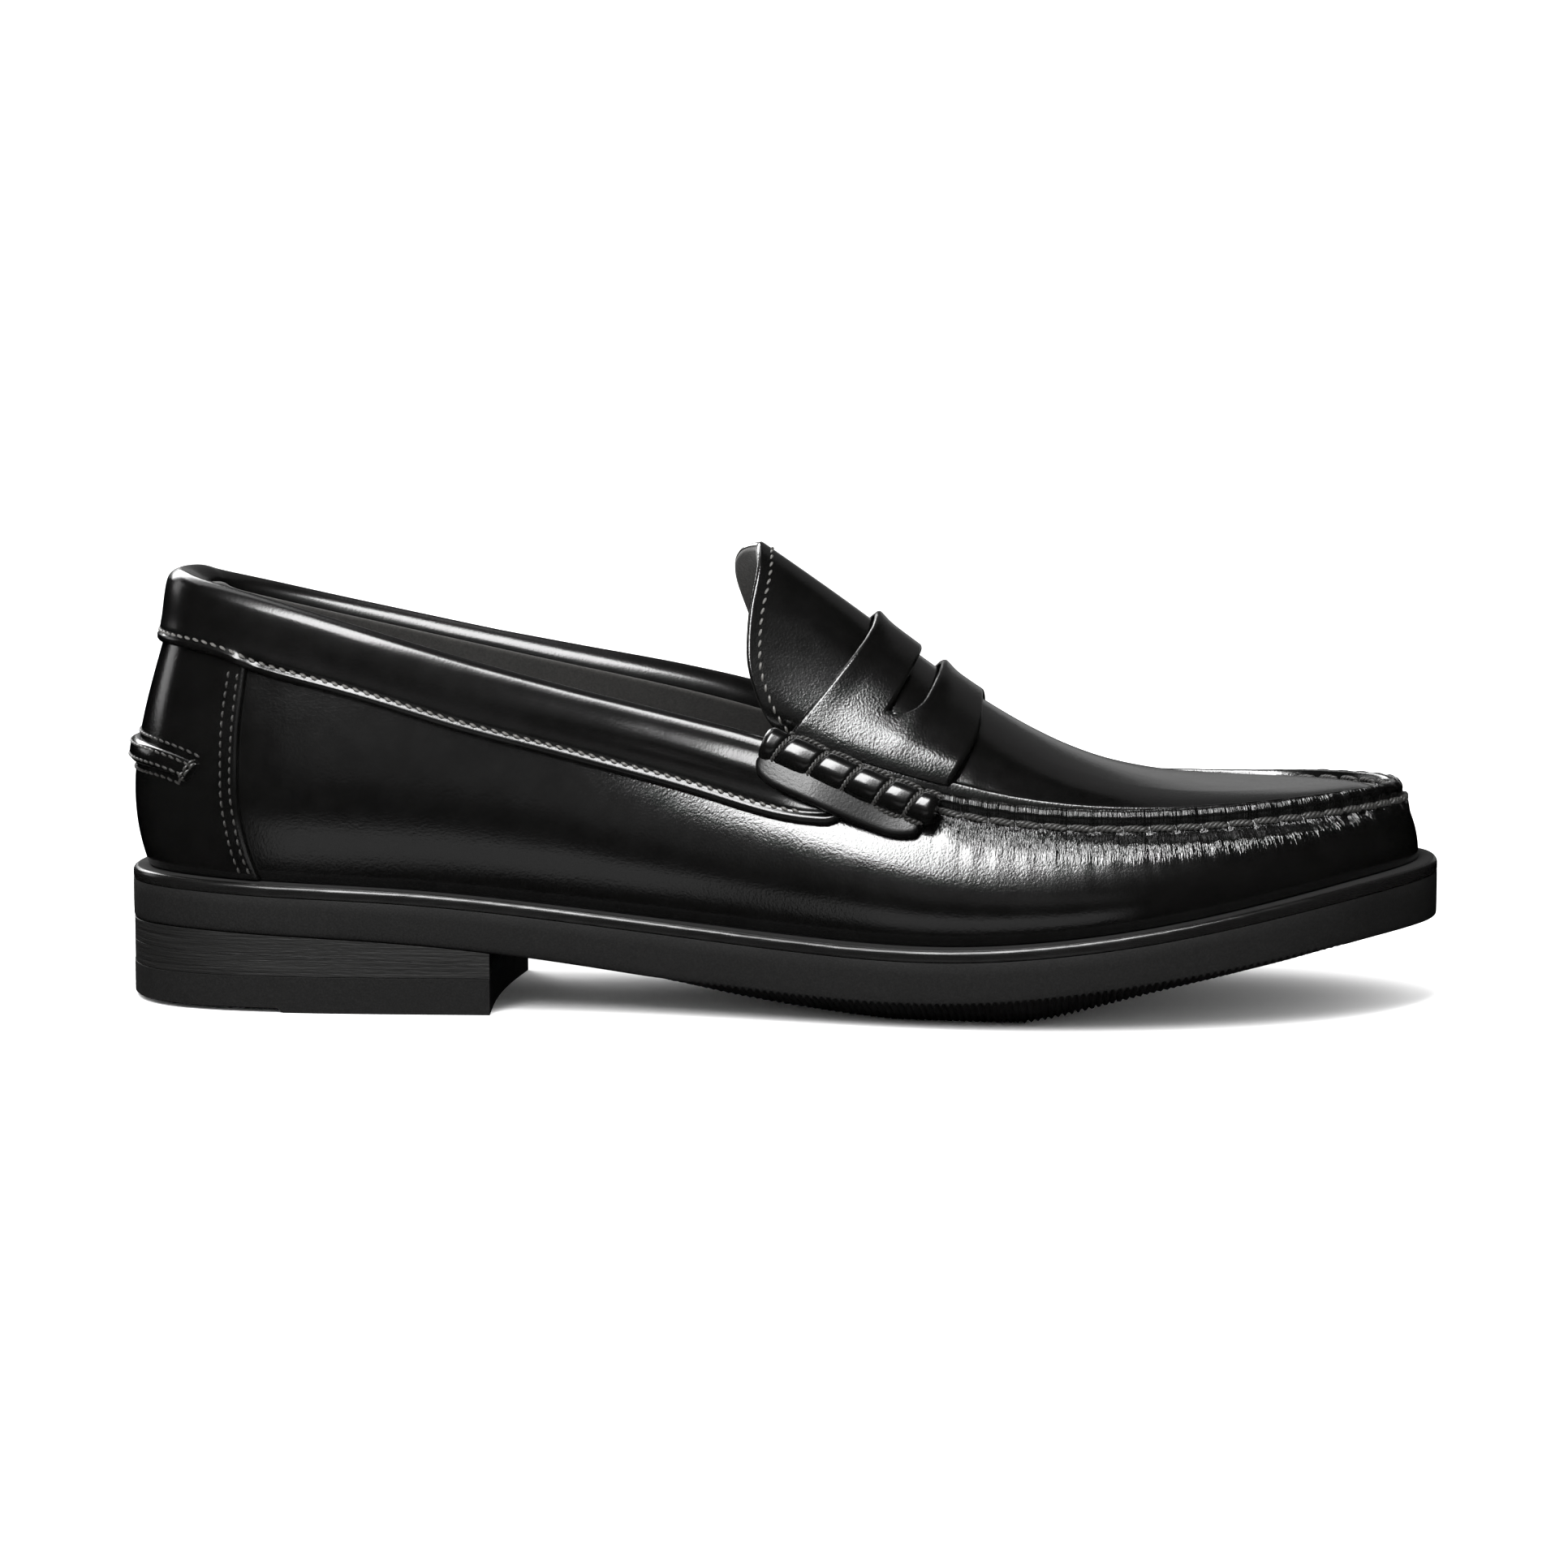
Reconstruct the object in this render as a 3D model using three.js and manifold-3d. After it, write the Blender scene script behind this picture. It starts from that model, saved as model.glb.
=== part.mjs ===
// Penny loafer for the right foot, men's EU 43, with a gathered apron toe, a saddle strap with beef rolls,
// a padded collar and a stacked heel. Lengths are millimetres. +X points to the toe, -Y is the outer
// (lateral) side of the foot and +Z is up. The origin is on the ground, under the middle of the shoe.
//
// Every piece is laid out on the last. Station 0 is the back of the heel and station 13 the tip of the toe.
// A ring position runs once round the shoe: 0 to 13 along the lateral side, then 13 to 26 back along the
// medial side, so that 26 - w is opposite w.

import * as THREE from 'three';
import { mergeVertices } from 'three/addons/utils/BufferGeometryUtils.js';
import Module from 'manifold-3d';

const TOE = 13;
const ROUND = 2 * TOE;

// ---- The last, one value per station from heel to toe ----

const STATION_X = [-149.6, -145.6, -134, -112, -80, -45, -10, 25, 55, 85, 112, 132, 146.6, 150.2];
const SOLE_Y = {
  lateral: [1.8, -15, -25.7, -30.7, -31.7, -32.2, -37.2, -45.2, -49.4, -48.9, -42.2, -29.4, -10, 5.8],
  medial: [1.8, 18.8, 29.3, 33.8, 32.3, 30.3, 33.3, 41.3, 47.9, 49.8, 46.8, 38.2, 21.8, 5.8],
};
const WELT_TOP_Z = [30, 30.2, 30, 29, 27.5, 24, 20.5, 18.2, 19.1, 23, 28, 31.3, 32.6, 33];
const SOLE_EDGE_Z = [18.3, 18.5, 18.5, 17.5, 15.7, 11.7, 7.4, 5.3, 6.6, 10.8, 15.4, 18.6, 19.6, 20];
const TREAD_Z = [18.3, 18.5, 18.5, 17.5, 15.7, 11.7, 4, 0, 0, 7, 12.5, 16.5, 18.4, 19.2];
const TOP_Z = {
  lateral: [98, 97.8, 96.5, 92, 83, 73, 63.3, 53.8, 48.8, 48, 49.2, 50.2, 50.6, 50.5],
  medial: [98, 97.6, 95.5, 91.3, 84.8, 77.8, 69.5, 57.5, 50.2, 48.6, 48.8, 49.6, 50.3, 50.5],
};

// How far the upper stands inside the edge of the sole: at the welt, at its widest, at the shoulder
// and at its top edge.
const FEATHER_INSET = [5, 5, 4.8, 4.4, 4.2, 4.2, 4.4, 4.6, 4.6, 4.5, 4.4, 4.3, 4.3, 4.3];
const BULGE_INSET = [2.1, 2.1, 1.9, 1.6, 1.2, 1.2, 1.8, 2.8, 3.2, 3.2, 3.2, 3.6, 4.4, 4.8];
const SHOULDER_INSET = [7.1, 7, 6.2, 4.6, 3.2, 3.4, 5.2, 6.6, 7.4, 7.4, 7, 6.8, 6.9, 7];
const TOP_INSET = {
  lateral: [13.3, 13, 11.6, 8.8, 6.6, 8, 12, 14, 15.5, 15.5, 14.5, 13.2, 11.8, 11],
  medial: [13.3, 13, 11.8, 9.8, 8, 9, 12, 14, 16, 16, 15, 13.4, 11.9, 11],
};
const BULGE_HEIGHT = 0.28;
const SHOULDER_HEIGHT = 0.66;

// The instep, from station 5 to the toe: height of its crown, and how far the crown lies ahead of the seams.
const INSTEP_START = 5;
const CROWN_Z = [118.5, 93.3, 73.6, 59.4, 51.6, 49.7, 49.5, 49.8, 50];
const CROWN_LEAN = [20, 19.5, 10.5, 5.5, 1.5, 0, 0, 0, 0];
const ARCH_POWER = 1.25;

// ---- Sole and heel ----

const GAP = 0.3;
const WELT_THICKNESS = 2.8;
const WELT_WIDTH = 11;
const INSOLE_INSET = 9.5;
const INSOLE_THICKNESS = 2.2;
const SOCK_THICKNESS = 1;
const CORK_INSET = 13;
const HEEL_PAD_THICKNESS = 2;
const TOP_LIFT_HEIGHT = 8;
const BREAST_STATION = 4.47;
const BREAST_SKEW = 0.05;
const HEEL_LIFTS = 2;
const NAIL = { radius: 1, hole: 1.4, foot: 9.6, head: 1.9, headHeight: 0.8, sides: 8 };
const NAIL_PLACES = [[-137, 2], [-120, -19], [-120, 22], [-82, -20], [-82, 21]];

// ---- Upper ----

const LEATHER = 1.6;
const LINING = 1;
const COLLAR_HEIGHT = 16.3;
const COLLAR_END = 6.18;
const QUARTER_TOP = 9.5;
const FOXING_EDGE = 2.62;
const TAB = { top: 58.4, height: 4.4, lift: 1.8, thickness: 1, half: 2.05 };
const STRAP = { rear: 6.28, front: 7.32, lift: 0.4, thickness: 1.5, end: 0.84 };
const SLOT = { rear: 6.72, front: 6.9, half: 0.4 };
const STRAP_FLANGE = { rear: 6.24, front: 7.2, low: 0.62, high: 0.76, thickness: 1.3 };
const BEEF_ROLL = { rear: 6.24, front: 7.26, radius: 4, lift: 4.9, rearHeight: 0.96, frontHeight: 0.87 };
const TONGUE = { tip: 5.56, cut: 0.74, cutPower: 2.6, front: 6.4, tuck: 9, tuckPower: 5, side: 0.9 };
const THREAD_RADIUS = 0.5;
const THREAD_LIFT = 0.95;

const COLOURS = {
  leather: ['#141312', 0.25],
  lining: ['#2e2d2b', 0.95],
  rubber: ['#1d1d1c', 0.8],
  stack: ['#1a1918', 0.7],
  thread: ['#0f0f0e', 0.5],
  board: ['#8a7256', 0.9],
  cork: ['#9c7a4c', 0.95],
  foam: ['#c9c3b4', 0.95],
  steel: ['#8d9094', 0.4],
};

// ---- Curves on the last ----

/** A closed curve round the shoe through one point per station and side. */
function ringCurve(lateralPoint, medialPoint) {
  const points = [];
  for (let w = 0; w <= TOE; w += 1) points.push(lateralPoint(w));
  for (let w = TOE - 1; w > 0; w -= 1) points.push(medialPoint(w));
  return new THREE.CatmullRomCurve3(points, true, 'catmullrom', 0.5);
}

const soleRing = ringCurve(
  (w) => new THREE.Vector3(STATION_X[w], SOLE_Y.lateral[w], WELT_TOP_Z[w]),
  (w) => new THREE.Vector3(STATION_X[w], SOLE_Y.medial[w], WELT_TOP_Z[w]),
);
const topRing = ringCurve(
  (w) => new THREE.Vector3(TOP_INSET.lateral[w], SHOULDER_INSET[w], TOP_Z.lateral[w]),
  (w) => new THREE.Vector3(TOP_INSET.medial[w], SHOULDER_INSET[w], TOP_Z.medial[w]),
);
const lowRing = ringCurve(
  (w) => new THREE.Vector3(FEATHER_INSET[w], BULGE_INSET[w], SOLE_EDGE_Z[w]),
  (w) => new THREE.Vector3(FEATHER_INSET[w], BULGE_INSET[w], SOLE_EDGE_Z[w]),
);
const treadRing = ringCurve(
  (w) => new THREE.Vector3(TREAD_Z[w], 0, 0),
  (w) => new THREE.Vector3(TREAD_Z[w], 0, 0),
);
const crownCurve = new THREE.CatmullRomCurve3(
  CROWN_Z.map((z, i) => new THREE.Vector3(CROWN_LEAN[i], 0, z)),
  false,
  'catmullrom',
  0.5,
);

/** Turns a ring position into the curve's own 0 to 1. */
const turn = (q) => ((q % ROUND) + ROUND) % ROUND / ROUND;

/** The edge of the sole at a ring position, moved in by inset. */
function soleEdge(q, inset) {
  const step = 0.01;
  const ahead = soleRing.getPoint(turn(q + step));
  const behind = soleRing.getPoint(turn(q - step));
  const along = ahead.sub(behind).setZ(0).normalize();
  const point = soleRing.getPoint(turn(q));
  return point.add(new THREE.Vector3(-along.y, along.x, 0).multiplyScalar(inset));
}

/** Height of the tread: the ball rests flat on the ground, and the toe springs up. */
const treadZ = (q) => Math.max(0, treadRing.getPoint(turn(q)).x);

/** The curve of the fourth kind through four values at 0, the bulge, the shoulder and 1. */
function throughFour(values, t) {
  const at = [0, BULGE_HEIGHT, SHOULDER_HEIGHT, 1];
  let sum = 0;
  for (let i = 0; i < 4; i += 1) {
    let part = values[i];
    for (let k = 0; k < 4; k += 1) {
      if (k !== i) part *= (t - at[k]) / (at[i] - at[k]);
    }
    sum += part;
  }
  return sum;
}

/** A point on the outside of the upper's side wall: v is 0 at the welt and 1 at the top edge. */
function wallSkin(q, v) {
  const low = lowRing.getPoint(turn(q));
  const top = topRing.getPoint(turn(q));
  const point = soleEdge(q, throughFour([low.x, low.y, top.y, top.x], v));
  const foot = point.z + GAP;
  return point.setZ(foot + v * (top.z - foot));
}

/** A point on the outside of the instep: t is -1 at the lateral seam, 0 on the crown, 1 at the medial seam. */
function roofSkin(w, t) {
  const lateral = wallSkin(w, 1);
  const medial = wallSkin(ROUND - w, 1);
  const crown = crownCurve.getPoint((w - INSTEP_START) / (CROWN_Z.length - 1));
  const angle = t * Math.PI / 2;
  const arch = Math.cos(angle) ** ARCH_POWER;
  const rise = crown.z - (lateral.z + medial.z) / 2;
  const point = lateral.lerp(medial, (1 + Math.sin(angle)) / 2);
  return point.add(new THREE.Vector3(crown.x * arch, 0, rise * arch));
}

/** Moves a point of a skin along the skin's outward normal. */
function lifted(skin, a, b, lift) {
  const step = 0.004;
  const alongA = skin(a + step, b).sub(skin(a - step, b));
  const alongB = skin(a, b + step).sub(skin(a, b - step));
  const normal = alongA.cross(alongB).normalize();
  return skin(a, b).addScaledVector(normal, lift);
}

const wall = (q, v, lift) => lifted(wallSkin, q, v, lift);
const roof = (w, t, lift) => lifted(roofSkin, w, t, lift);

/** The wall's v at a depth below its top edge. */
function wallHeight(q, depth) {
  const foot = soleRing.getPoint(turn(q)).z + GAP;
  return 1 - depth / (topRing.getPoint(turn(q)).z - foot);
}

// ---- Solids ----

/** Turns the triangles round if they face inwards. */
function facingOut(positions, triangles) {
  const corner = (i) => new THREE.Vector3().fromArray(positions, 3 * i);
  let volume = 0;
  for (let i = 0; i < triangles.length; i += 3) {
    const [a, b, c] = [corner(triangles[i]), corner(triangles[i + 1]), corner(triangles[i + 2])];
    volume += a.dot(b.cross(c));
  }
  if (volume < 0) triangles.reverse();
  const geometry = new THREE.BufferGeometry();
  geometry.setAttribute('position', new THREE.Float32BufferAttribute(positions, 3));
  geometry.setIndex(triangles);
  return geometry;
}

/** A closed solid between two grids of points, over and under, with rows + 1 by columns + 1 points each. */
function thickSheet(rows, columns, over, under) {
  const positions = [];
  const triangles = [];
  for (const side of [over, under]) {
    for (let i = 0; i <= rows; i += 1) {
      for (let j = 0; j <= columns; j += 1) positions.push(...side(i / rows, j / columns));
    }
  }
  const width = columns + 1;
  const layer = (rows + 1) * width;
  const quad = (a, b, c, d) => triangles.push(a, b, c, a, c, d);
  for (let i = 0; i < rows; i += 1) {
    for (let j = 0; j < columns; j += 1) {
      const k = i * width + j;
      quad(k, k + 1, k + width + 1, k + width);
      quad(layer + k, layer + k + width, layer + k + width + 1, layer + k + 1);
    }
  }
  for (let i = 0; i < rows; i += 1) {
    const first = i * width;
    const last = first + columns;
    quad(first, first + width, first + width + layer, first + layer);
    quad(last, last + layer, last + width + layer, last + width);
  }
  for (let j = 0; j < columns; j += 1) {
    const end = rows * width + j;
    quad(j, j + layer, j + 1 + layer, j + 1);
    quad(end, end + 1, end + 1 + layer, end + layer);
  }
  return facingOut(positions, triangles);
}

/** A leather or cloth panel on a skin, between two lifts; from and to give its first and last b at each a. */
function panel(skin, aRange, from, to, lifts, rows, columns) {
  const [aFirst, aLast] = aRange;
  const point = (lift) => (i, j) => {
    const a = aFirst + i * (aLast - aFirst);
    return lifted(skin, a, from(a) + j * (to(a) - from(a)), lift);
  };
  return thickSheet(rows, columns, point(lifts[1]), point(lifts[0]));
}

/** A layer of the sole between two stations; top and bottom give its height at a ring position. */
function soleLayer(stations, inset, top, bottom, rows) {
  const [first, last] = stations;
  const surface = (height) => (i, j) => {
    const w = first + i * (last - first);
    const lateral = soleEdge(w, inset).setZ(height(w));
    const medial = soleEdge(ROUND - w, inset).setZ(height(w));
    return lateral.lerp(medial, j);
  };
  return thickSheet(rows, 1, surface(top), surface(bottom));
}

/** A round bar along points, as a thread or a roll. */
function bar(points, radius, sides, steps) {
  const section = new THREE.EllipseCurve(0, 0, radius, radius).getPoints(sides).slice(0, sides);
  const shape = new THREE.Shape(section);
  const extrudePath = new THREE.CatmullRomCurve3(points);
  return new THREE.ExtrudeGeometry(shape, { steps, extrudePath, bevelEnabled: false });
}

/** Points along a skin at equal steps between two values. */
function along(from, to, count, place) {
  return Array.from({ length: count + 1 }, (_, i) => place(from + (to - from) * i / count));
}

const wasm = await Module();
wasm.setup();

/** The solid of a geometry, ready for a boolean cut. */
function solid(geometry) {
  const bare = geometry.clone();
  bare.deleteAttribute('normal');
  bare.deleteAttribute('uv');
  const merged = mergeVertices(bare, 1e-4);
  const vertProperties = new Float32Array(merged.attributes.position.array);
  const triVerts = new Uint32Array(merged.index.array);
  return new wasm.Manifold(new wasm.Mesh({ numProp: 3, vertProperties, triVerts }));
}

/** Cuts tools out of a geometry. */
function cut(geometry, tools) {
  const body = tools.reduce((rest, tool) => rest.subtract(solid(tool)), solid(geometry));
  const mesh = body.getMesh();
  const result = new THREE.BufferGeometry();
  result.setAttribute('position', new THREE.BufferAttribute(mesh.vertProperties, 3));
  result.setIndex(new THREE.BufferAttribute(mesh.triVerts, 1));
  return result;
}

const shoe = new THREE.Group();

/** Adds a named piece to the shoe. */
function add(name, geometry, colour) {
  const [color, roughness] = COLOURS[colour];
  const metalness = colour === 'steel' ? 1 : 0;
  const material = new THREE.MeshStandardMaterial({ color, roughness, metalness });
  const mesh = new THREE.Mesh(geometry, material);
  mesh.name = name;
  shoe.add(mesh);
}

// ---- Sole: welt, outsole and what lies between it and the foot ----

const ENDS = [0.05, TOE - 0.05];
const weltTop = (w) => soleRing.getPoint(turn(w)).z;
const outsoleTop = (w) => weltTop(w) - WELT_THICKNESS - GAP;
const soleEdgeZ = (w) => lowRing.getPoint(turn(w)).z;

/** The welt is a strip round the whole sole, split at the back of the heel. */
function welt() {
  const split = 0.03;
  const strip = (drop) => (i, j) => {
    const q = split + i * (ROUND - 2 * split);
    const point = soleEdge(q, j * WELT_WIDTH);
    return point.setZ(point.z - drop);
  };
  return thickSheet(60, 1, strip(0), strip(WELT_THICKNESS));
}

/** The outsole has a rounded lower edge, and its tread is lower in the middle than at the edge. */
function outsole() {
  const edge = [[0, 0], [1.6, 0], [14, 1]];
  const surface = (under) => (i, j) => {
    const w = ENDS[0] + i * (ENDS[1] - ENDS[0]);
    const column = Math.round(j * 5);
    const fromMedial = column > 2;
    const [reach, sink] = edge[fromMedial ? 5 - column : column];
    const room = Math.min(1, (soleEdge(ROUND - w, 0).y - soleEdge(w, 0).y) / 40);
    const point = soleEdge(fromMedial ? ROUND - w : w, reach * room);
    const lowered = soleEdgeZ(w) + (reach === 0 ? 1.2 : 0) + sink * (treadZ(w) - soleEdgeZ(w));
    return point.setZ(under ? lowered : outsoleTop(w));
  };
  return thickSheet(40, 5, surface(false), surface(true));
}

/** A nail with a flat head, driven from above the outsole down into the heel stack. */
function nail([x, y], radius, headRadius, top) {
  const profile = [
    new THREE.Vector2(0, NAIL.foot),
    new THREE.Vector2(radius, NAIL.foot),
    new THREE.Vector2(radius, top - NAIL.headHeight),
    new THREE.Vector2(headRadius, top - NAIL.headHeight),
    new THREE.Vector2(headRadius, top),
    new THREE.Vector2(0, top),
  ];
  return new THREE.LatheGeometry(profile, NAIL.sides).rotateX(Math.PI / 2).translate(x, y, 0);
}

/** The station whose sole edge is at x, between the heel and the waist. */
function stationAt(x) {
  let w = 0;
  while (soleRing.getPoint(turn(w)).x < x) w += 0.02;
  return w;
}

/** One layer of the heel: its front face, the breast, runs askew and reaches further on the medial side. */
function heelLayer(top, bottom, inset) {
  const surface = (height) => (i, j) => {
    const w = ENDS[0] + i * (BREAST_STATION - ENDS[0]) + BREAST_SKEW * j * i ** 4;
    const point = soleEdge(w, inset).lerp(soleEdge(ROUND - w, inset), j);
    return point.setZ(height(w));
  };
  return thickSheet(20, 1, surface(top), surface(bottom));
}

const nailHoles = [];
NAIL_PLACES.forEach(([x, y], i) => {
  const top = outsoleTop(stationAt(x)) - 0.9;
  add(`heel_nail_${i + 1}`, nail([x, y], NAIL.radius, NAIL.head, top), 'steel');
  nailHoles.push(new THREE.CylinderGeometry(NAIL.hole, NAIL.hole, 40, NAIL.sides)
    .rotateX(Math.PI / 2).translate(x, y, NAIL.foot - 0.4 + 20));
  nailHoles.push(new THREE.CylinderGeometry(NAIL.head + 0.4, NAIL.head + 0.4, 20, NAIL.sides)
    .rotateX(Math.PI / 2).translate(x, y, top - NAIL.headHeight - 0.4 + 10));
});

add('outsole', cut(outsole(), nailHoles), 'rubber');
add('welt', welt(), 'leather');

const heelTop = (w) => soleEdgeZ(w) - GAP;
const liftHeight = (layer) => (w) => {
  const rest = TOP_LIFT_HEIGHT + GAP;
  return rest + (heelTop(w) - rest) * layer / HEEL_LIFTS;
};
for (let layer = 0; layer < HEEL_LIFTS; layer += 1) {
  const bottom = liftHeight(layer);
  const top = (w) => liftHeight(layer + 1)(w) - (layer < HEEL_LIFTS - 1 ? GAP : 0);
  add(`heel_lift_${layer + 1}`, cut(heelLayer(top, bottom, 0.3), nailHoles), 'stack');
}
add('top_lift', heelLayer(() => TOP_LIFT_HEIGHT, () => 0, 0.3), 'rubber');

const fillerTop = (w) => weltTop(w) - GAP;
add('cork_filler', soleLayer([6.1, TOE - 0.6], CORK_INSET, fillerTop, (w) => outsoleTop(w) + GAP, 20), 'cork');

/** The steel shank stiffens the waist between the heel and the ball. */
function shank() {
  const half = 7;
  const surface = (rise) => (i, j) => {
    const w = 2.9 + i * 3;
    const middle = soleEdge(w, 0).lerp(soleEdge(ROUND - w, 0), 0.5);
    return new THREE.Vector3(middle.x, middle.y + half * (2 * j - 1), outsoleTop(w) + GAP + rise);
  };
  return thickSheet(10, 1, surface(1.2), surface(0));
}
add('shank', shank(), 'steel');

const insoleBottom = (w) => weltTop(w) + GAP;
const insoleTop = (w) => insoleBottom(w) + INSOLE_THICKNESS;
const sockTop = (w) => insoleTop(w) + GAP + SOCK_THICKNESS;
add('insole_board', soleLayer([0.1, TOE - 0.1], INSOLE_INSET, insoleTop, insoleBottom, 28), 'board');
add('sock_liner', soleLayer([0.12, TOE - 0.12], INSOLE_INSET + 0.4, sockTop, (w) => insoleTop(w) + GAP, 28), 'lining');
const padTop = (w) => sockTop(w) + GAP + HEEL_PAD_THICKNESS;
add('heel_pad', soleLayer([0.3, 4.2], INSOLE_INSET + 4, padTop, (w) => sockTop(w) + GAP, 14), 'foam');

// ---- Upper: side wall, heel and collar ----

const BACK_SEAM = 0.04;
const VAMP_SEAM = 0.92;

/** The top of the vamp ends inside the collar at the back, and rises to the apron seam in front. */
function vampTop(q) {
  const fromHeel = Math.min(q, ROUND - q);
  const inCollar = wallHeight(q, QUARTER_TOP);
  const rise = THREE.MathUtils.smoothstep(fromHeel, COLLAR_END + 0.1, COLLAR_END + 0.6);
  return THREE.MathUtils.lerp(inCollar, VAMP_SEAM, rise);
}
add('vamp', panel(wallSkin, [BACK_SEAM, ROUND - BACK_SEAM], () => 0, vampTop, [-LEATHER, 0], 64, 4), 'leather');

const foxingLifts = [GAP, GAP + 1.2];
const foxingTop = (q) => wallHeight(q, COLLAR_HEIGHT + GAP);
add('heel_foxing', panel(wallSkin, [-FOXING_EDGE, FOXING_EDGE], () => 0.03, foxingTop, foxingLifts, 22, 4), 'leather');

const atHeight = (q, z) => wallHeight(q, topRing.getPoint(turn(q)).z - z);
add('heel_tab', panel(
  wallSkin,
  [-TAB.half, TAB.half],
  (q) => atHeight(q, TAB.top - TAB.height - Math.abs(q)),
  (q) => atHeight(q, TAB.top - Math.abs(q)),
  [TAB.lift, TAB.lift + TAB.thickness],
  14,
  1,
), 'leather');

// The collar is a channel, open below: depth under the top edge and lift of its skin, outside and inside.
const COLLAR_SKIN = [[16.3, 1.5], [11.5, 2.2], [6, 2.4], [2.2, 1.5], [0, -1.1], [2, -3.9], [6, -4.8], [12, -4.8]];
const COLLAR_HOLLOW = [[16.3, 0.3], [11.5, 1], [6, 1.2], [3.2, 0.7], [1.3, -1.1], [3.2, -2.8], [6, -3.6], [12, -3.6]];
const COLLAR_RANGE = [-COLLAR_END, COLLAR_END];

/** A solid along the topline with the section between two lines of depth and lift. */
function collarSweep(overLine, underLine, range, rows) {
  const columns = overLine.length - 1;
  const surface = (line) => (i, j) => {
    const q = range[0] + i * (range[1] - range[0]);
    const [depth, lift] = line[Math.round(j * columns)];
    return wall(q, wallHeight(q, depth), lift);
  };
  return thickSheet(rows, columns, surface(overLine), surface(underLine));
}
add('collar', collarSweep(COLLAR_SKIN, COLLAR_HOLLOW, COLLAR_RANGE, 32), 'leather');

const FOAM_OUTSIDE = [[8, 0.5], [4, 0.4], [2.4, -1]];
const FOAM_INSIDE = [[8, -3], [4, -2.5], [2.6, -1.5]];
add('collar_foam', collarSweep(FOAM_OUTSIDE, FOAM_INSIDE, COLLAR_RANGE, 30), 'foam');

const counterLifts = [-3.1, -2.3];
const liningLifts = [-3.8 - LINING, -3.8];
const counterTop = (q) => wallHeight(q, 24 + 3 * Math.abs(q));
add('heel_counter', panel(wallSkin, [-2.9, 2.9], () => 0.08, counterTop, counterLifts, 22, 3), 'board');

const liningFoot = (q) => 0.2 * soleEdge(q, 0).z / 30;
const liningTop = (q) => wallHeight(q, 13.5);
const QUARTER_LINING_END = 6.36;
const quarterLiningRange = [-QUARTER_LINING_END, QUARTER_LINING_END];
add('quarter_lining', panel(wallSkin, quarterLiningRange, liningFoot, liningTop, liningLifts, 40, 3), 'lining');
const vampLiningRange = [QUARTER_LINING_END + 0.04, ROUND - QUARTER_LINING_END - 0.04];
add('vamp_lining', panel(wallSkin, vampLiningRange, () => 0.22, () => 0.8, liningLifts, 40, 3), 'lining');
add('toe_puff', panel(wallSkin, [11, ROUND - 11], () => 0.15, () => 0.82, counterLifts, 22, 2), 'board');

// ---- Instep: apron, tongue, strap and beef rolls ----

const apronSide = 0.8;
const apronRange = [6.5, TOE - 0.45];
add('apron', panel(roofSkin, apronRange, () => -apronSide, () => apronSide, [-LEATHER, 0], 24, 8), 'leather');
const apronLiningLifts = [-LEATHER - 0.5 - LINING, -LEATHER - 0.5];
add('apron_lining', panel(roofSkin, [6.5, 12], () => -0.7, () => 0.7, apronLiningLifts, 16, 6), 'lining');

/** The tongue goes on behind the apron to a rounded tip, and its sides tuck in between the collar ends. */
function tongueSheet(lifts, trim) {
  const surface = (lift) => (i, j) => {
    const t = (TONGUE.side - trim * 0.05) * (2 * j - 1);
    const tip = TONGUE.tip + trim * 0.02 + TONGUE.cut * Math.abs(t) ** TONGUE.cutPower;
    const tuck = TONGUE.tuck * Math.abs(t) ** TONGUE.tuckPower;
    return roof(tip + i * (TONGUE.front - tip), t, lift - tuck);
  };
  return thickSheet(7, 14, surface(lifts[1]), surface(lifts[0]));
}
add('tongue', tongueSheet([-LEATHER, 0], 0), 'leather');
add('tongue_lining', tongueSheet([-LEATHER - 0.9 - LINING, -LEATHER - 0.9], 1), 'lining');

/** The saddle strap runs over the instep from roll to roll, with an open slot across its crown. */
function strap() {
  const side = () => STRAP.end;
  const lifts = [STRAP.lift, STRAP.lift + STRAP.thickness];
  const whole = panel(roofSkin, [STRAP.rear, STRAP.front], (w) => -side(w), side, lifts, 8, 16);
  const slotLifts = [STRAP.lift - 2, STRAP.lift + STRAP.thickness + 2];
  const half = () => SLOT.half;
  const slot = panel(roofSkin, [SLOT.rear, SLOT.front], (w) => -half(w), half, slotLifts, 3, 10);
  return cut(whole, [slot]);
}
add('saddle_strap', strap(), 'leather');

/** Ring range of a piece at the strap's end, on one side of the shoe. */
const onSide = (side, range) => (side === 'lateral' ? range : range.map((w) => ROUND - w));

/** The flange of a strap end lies on the side wall under its beef roll. */
function strapEnd(side) {
  const range = onSide(side, [STRAP_FLANGE.rear, STRAP_FLANGE.front]);
  const lifts = [GAP + 1.3, GAP + 1.3 + STRAP_FLANGE.thickness];
  return panel(wallSkin, range, () => STRAP_FLANGE.low, () => STRAP_FLANGE.high, lifts, 10, 2);
}

/** The seam line that a beef roll lies on. */
function rollLine(side, lift) {
  const { rear, front, rearHeight, frontHeight } = BEEF_ROLL;
  const [first, last] = onSide(side, [rear, front]);
  return along(0, 1, 12, (f) => wall(
    THREE.MathUtils.lerp(first, last, f),
    THREE.MathUtils.lerp(rearHeight, frontHeight, f),
    lift,
  ));
}

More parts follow.
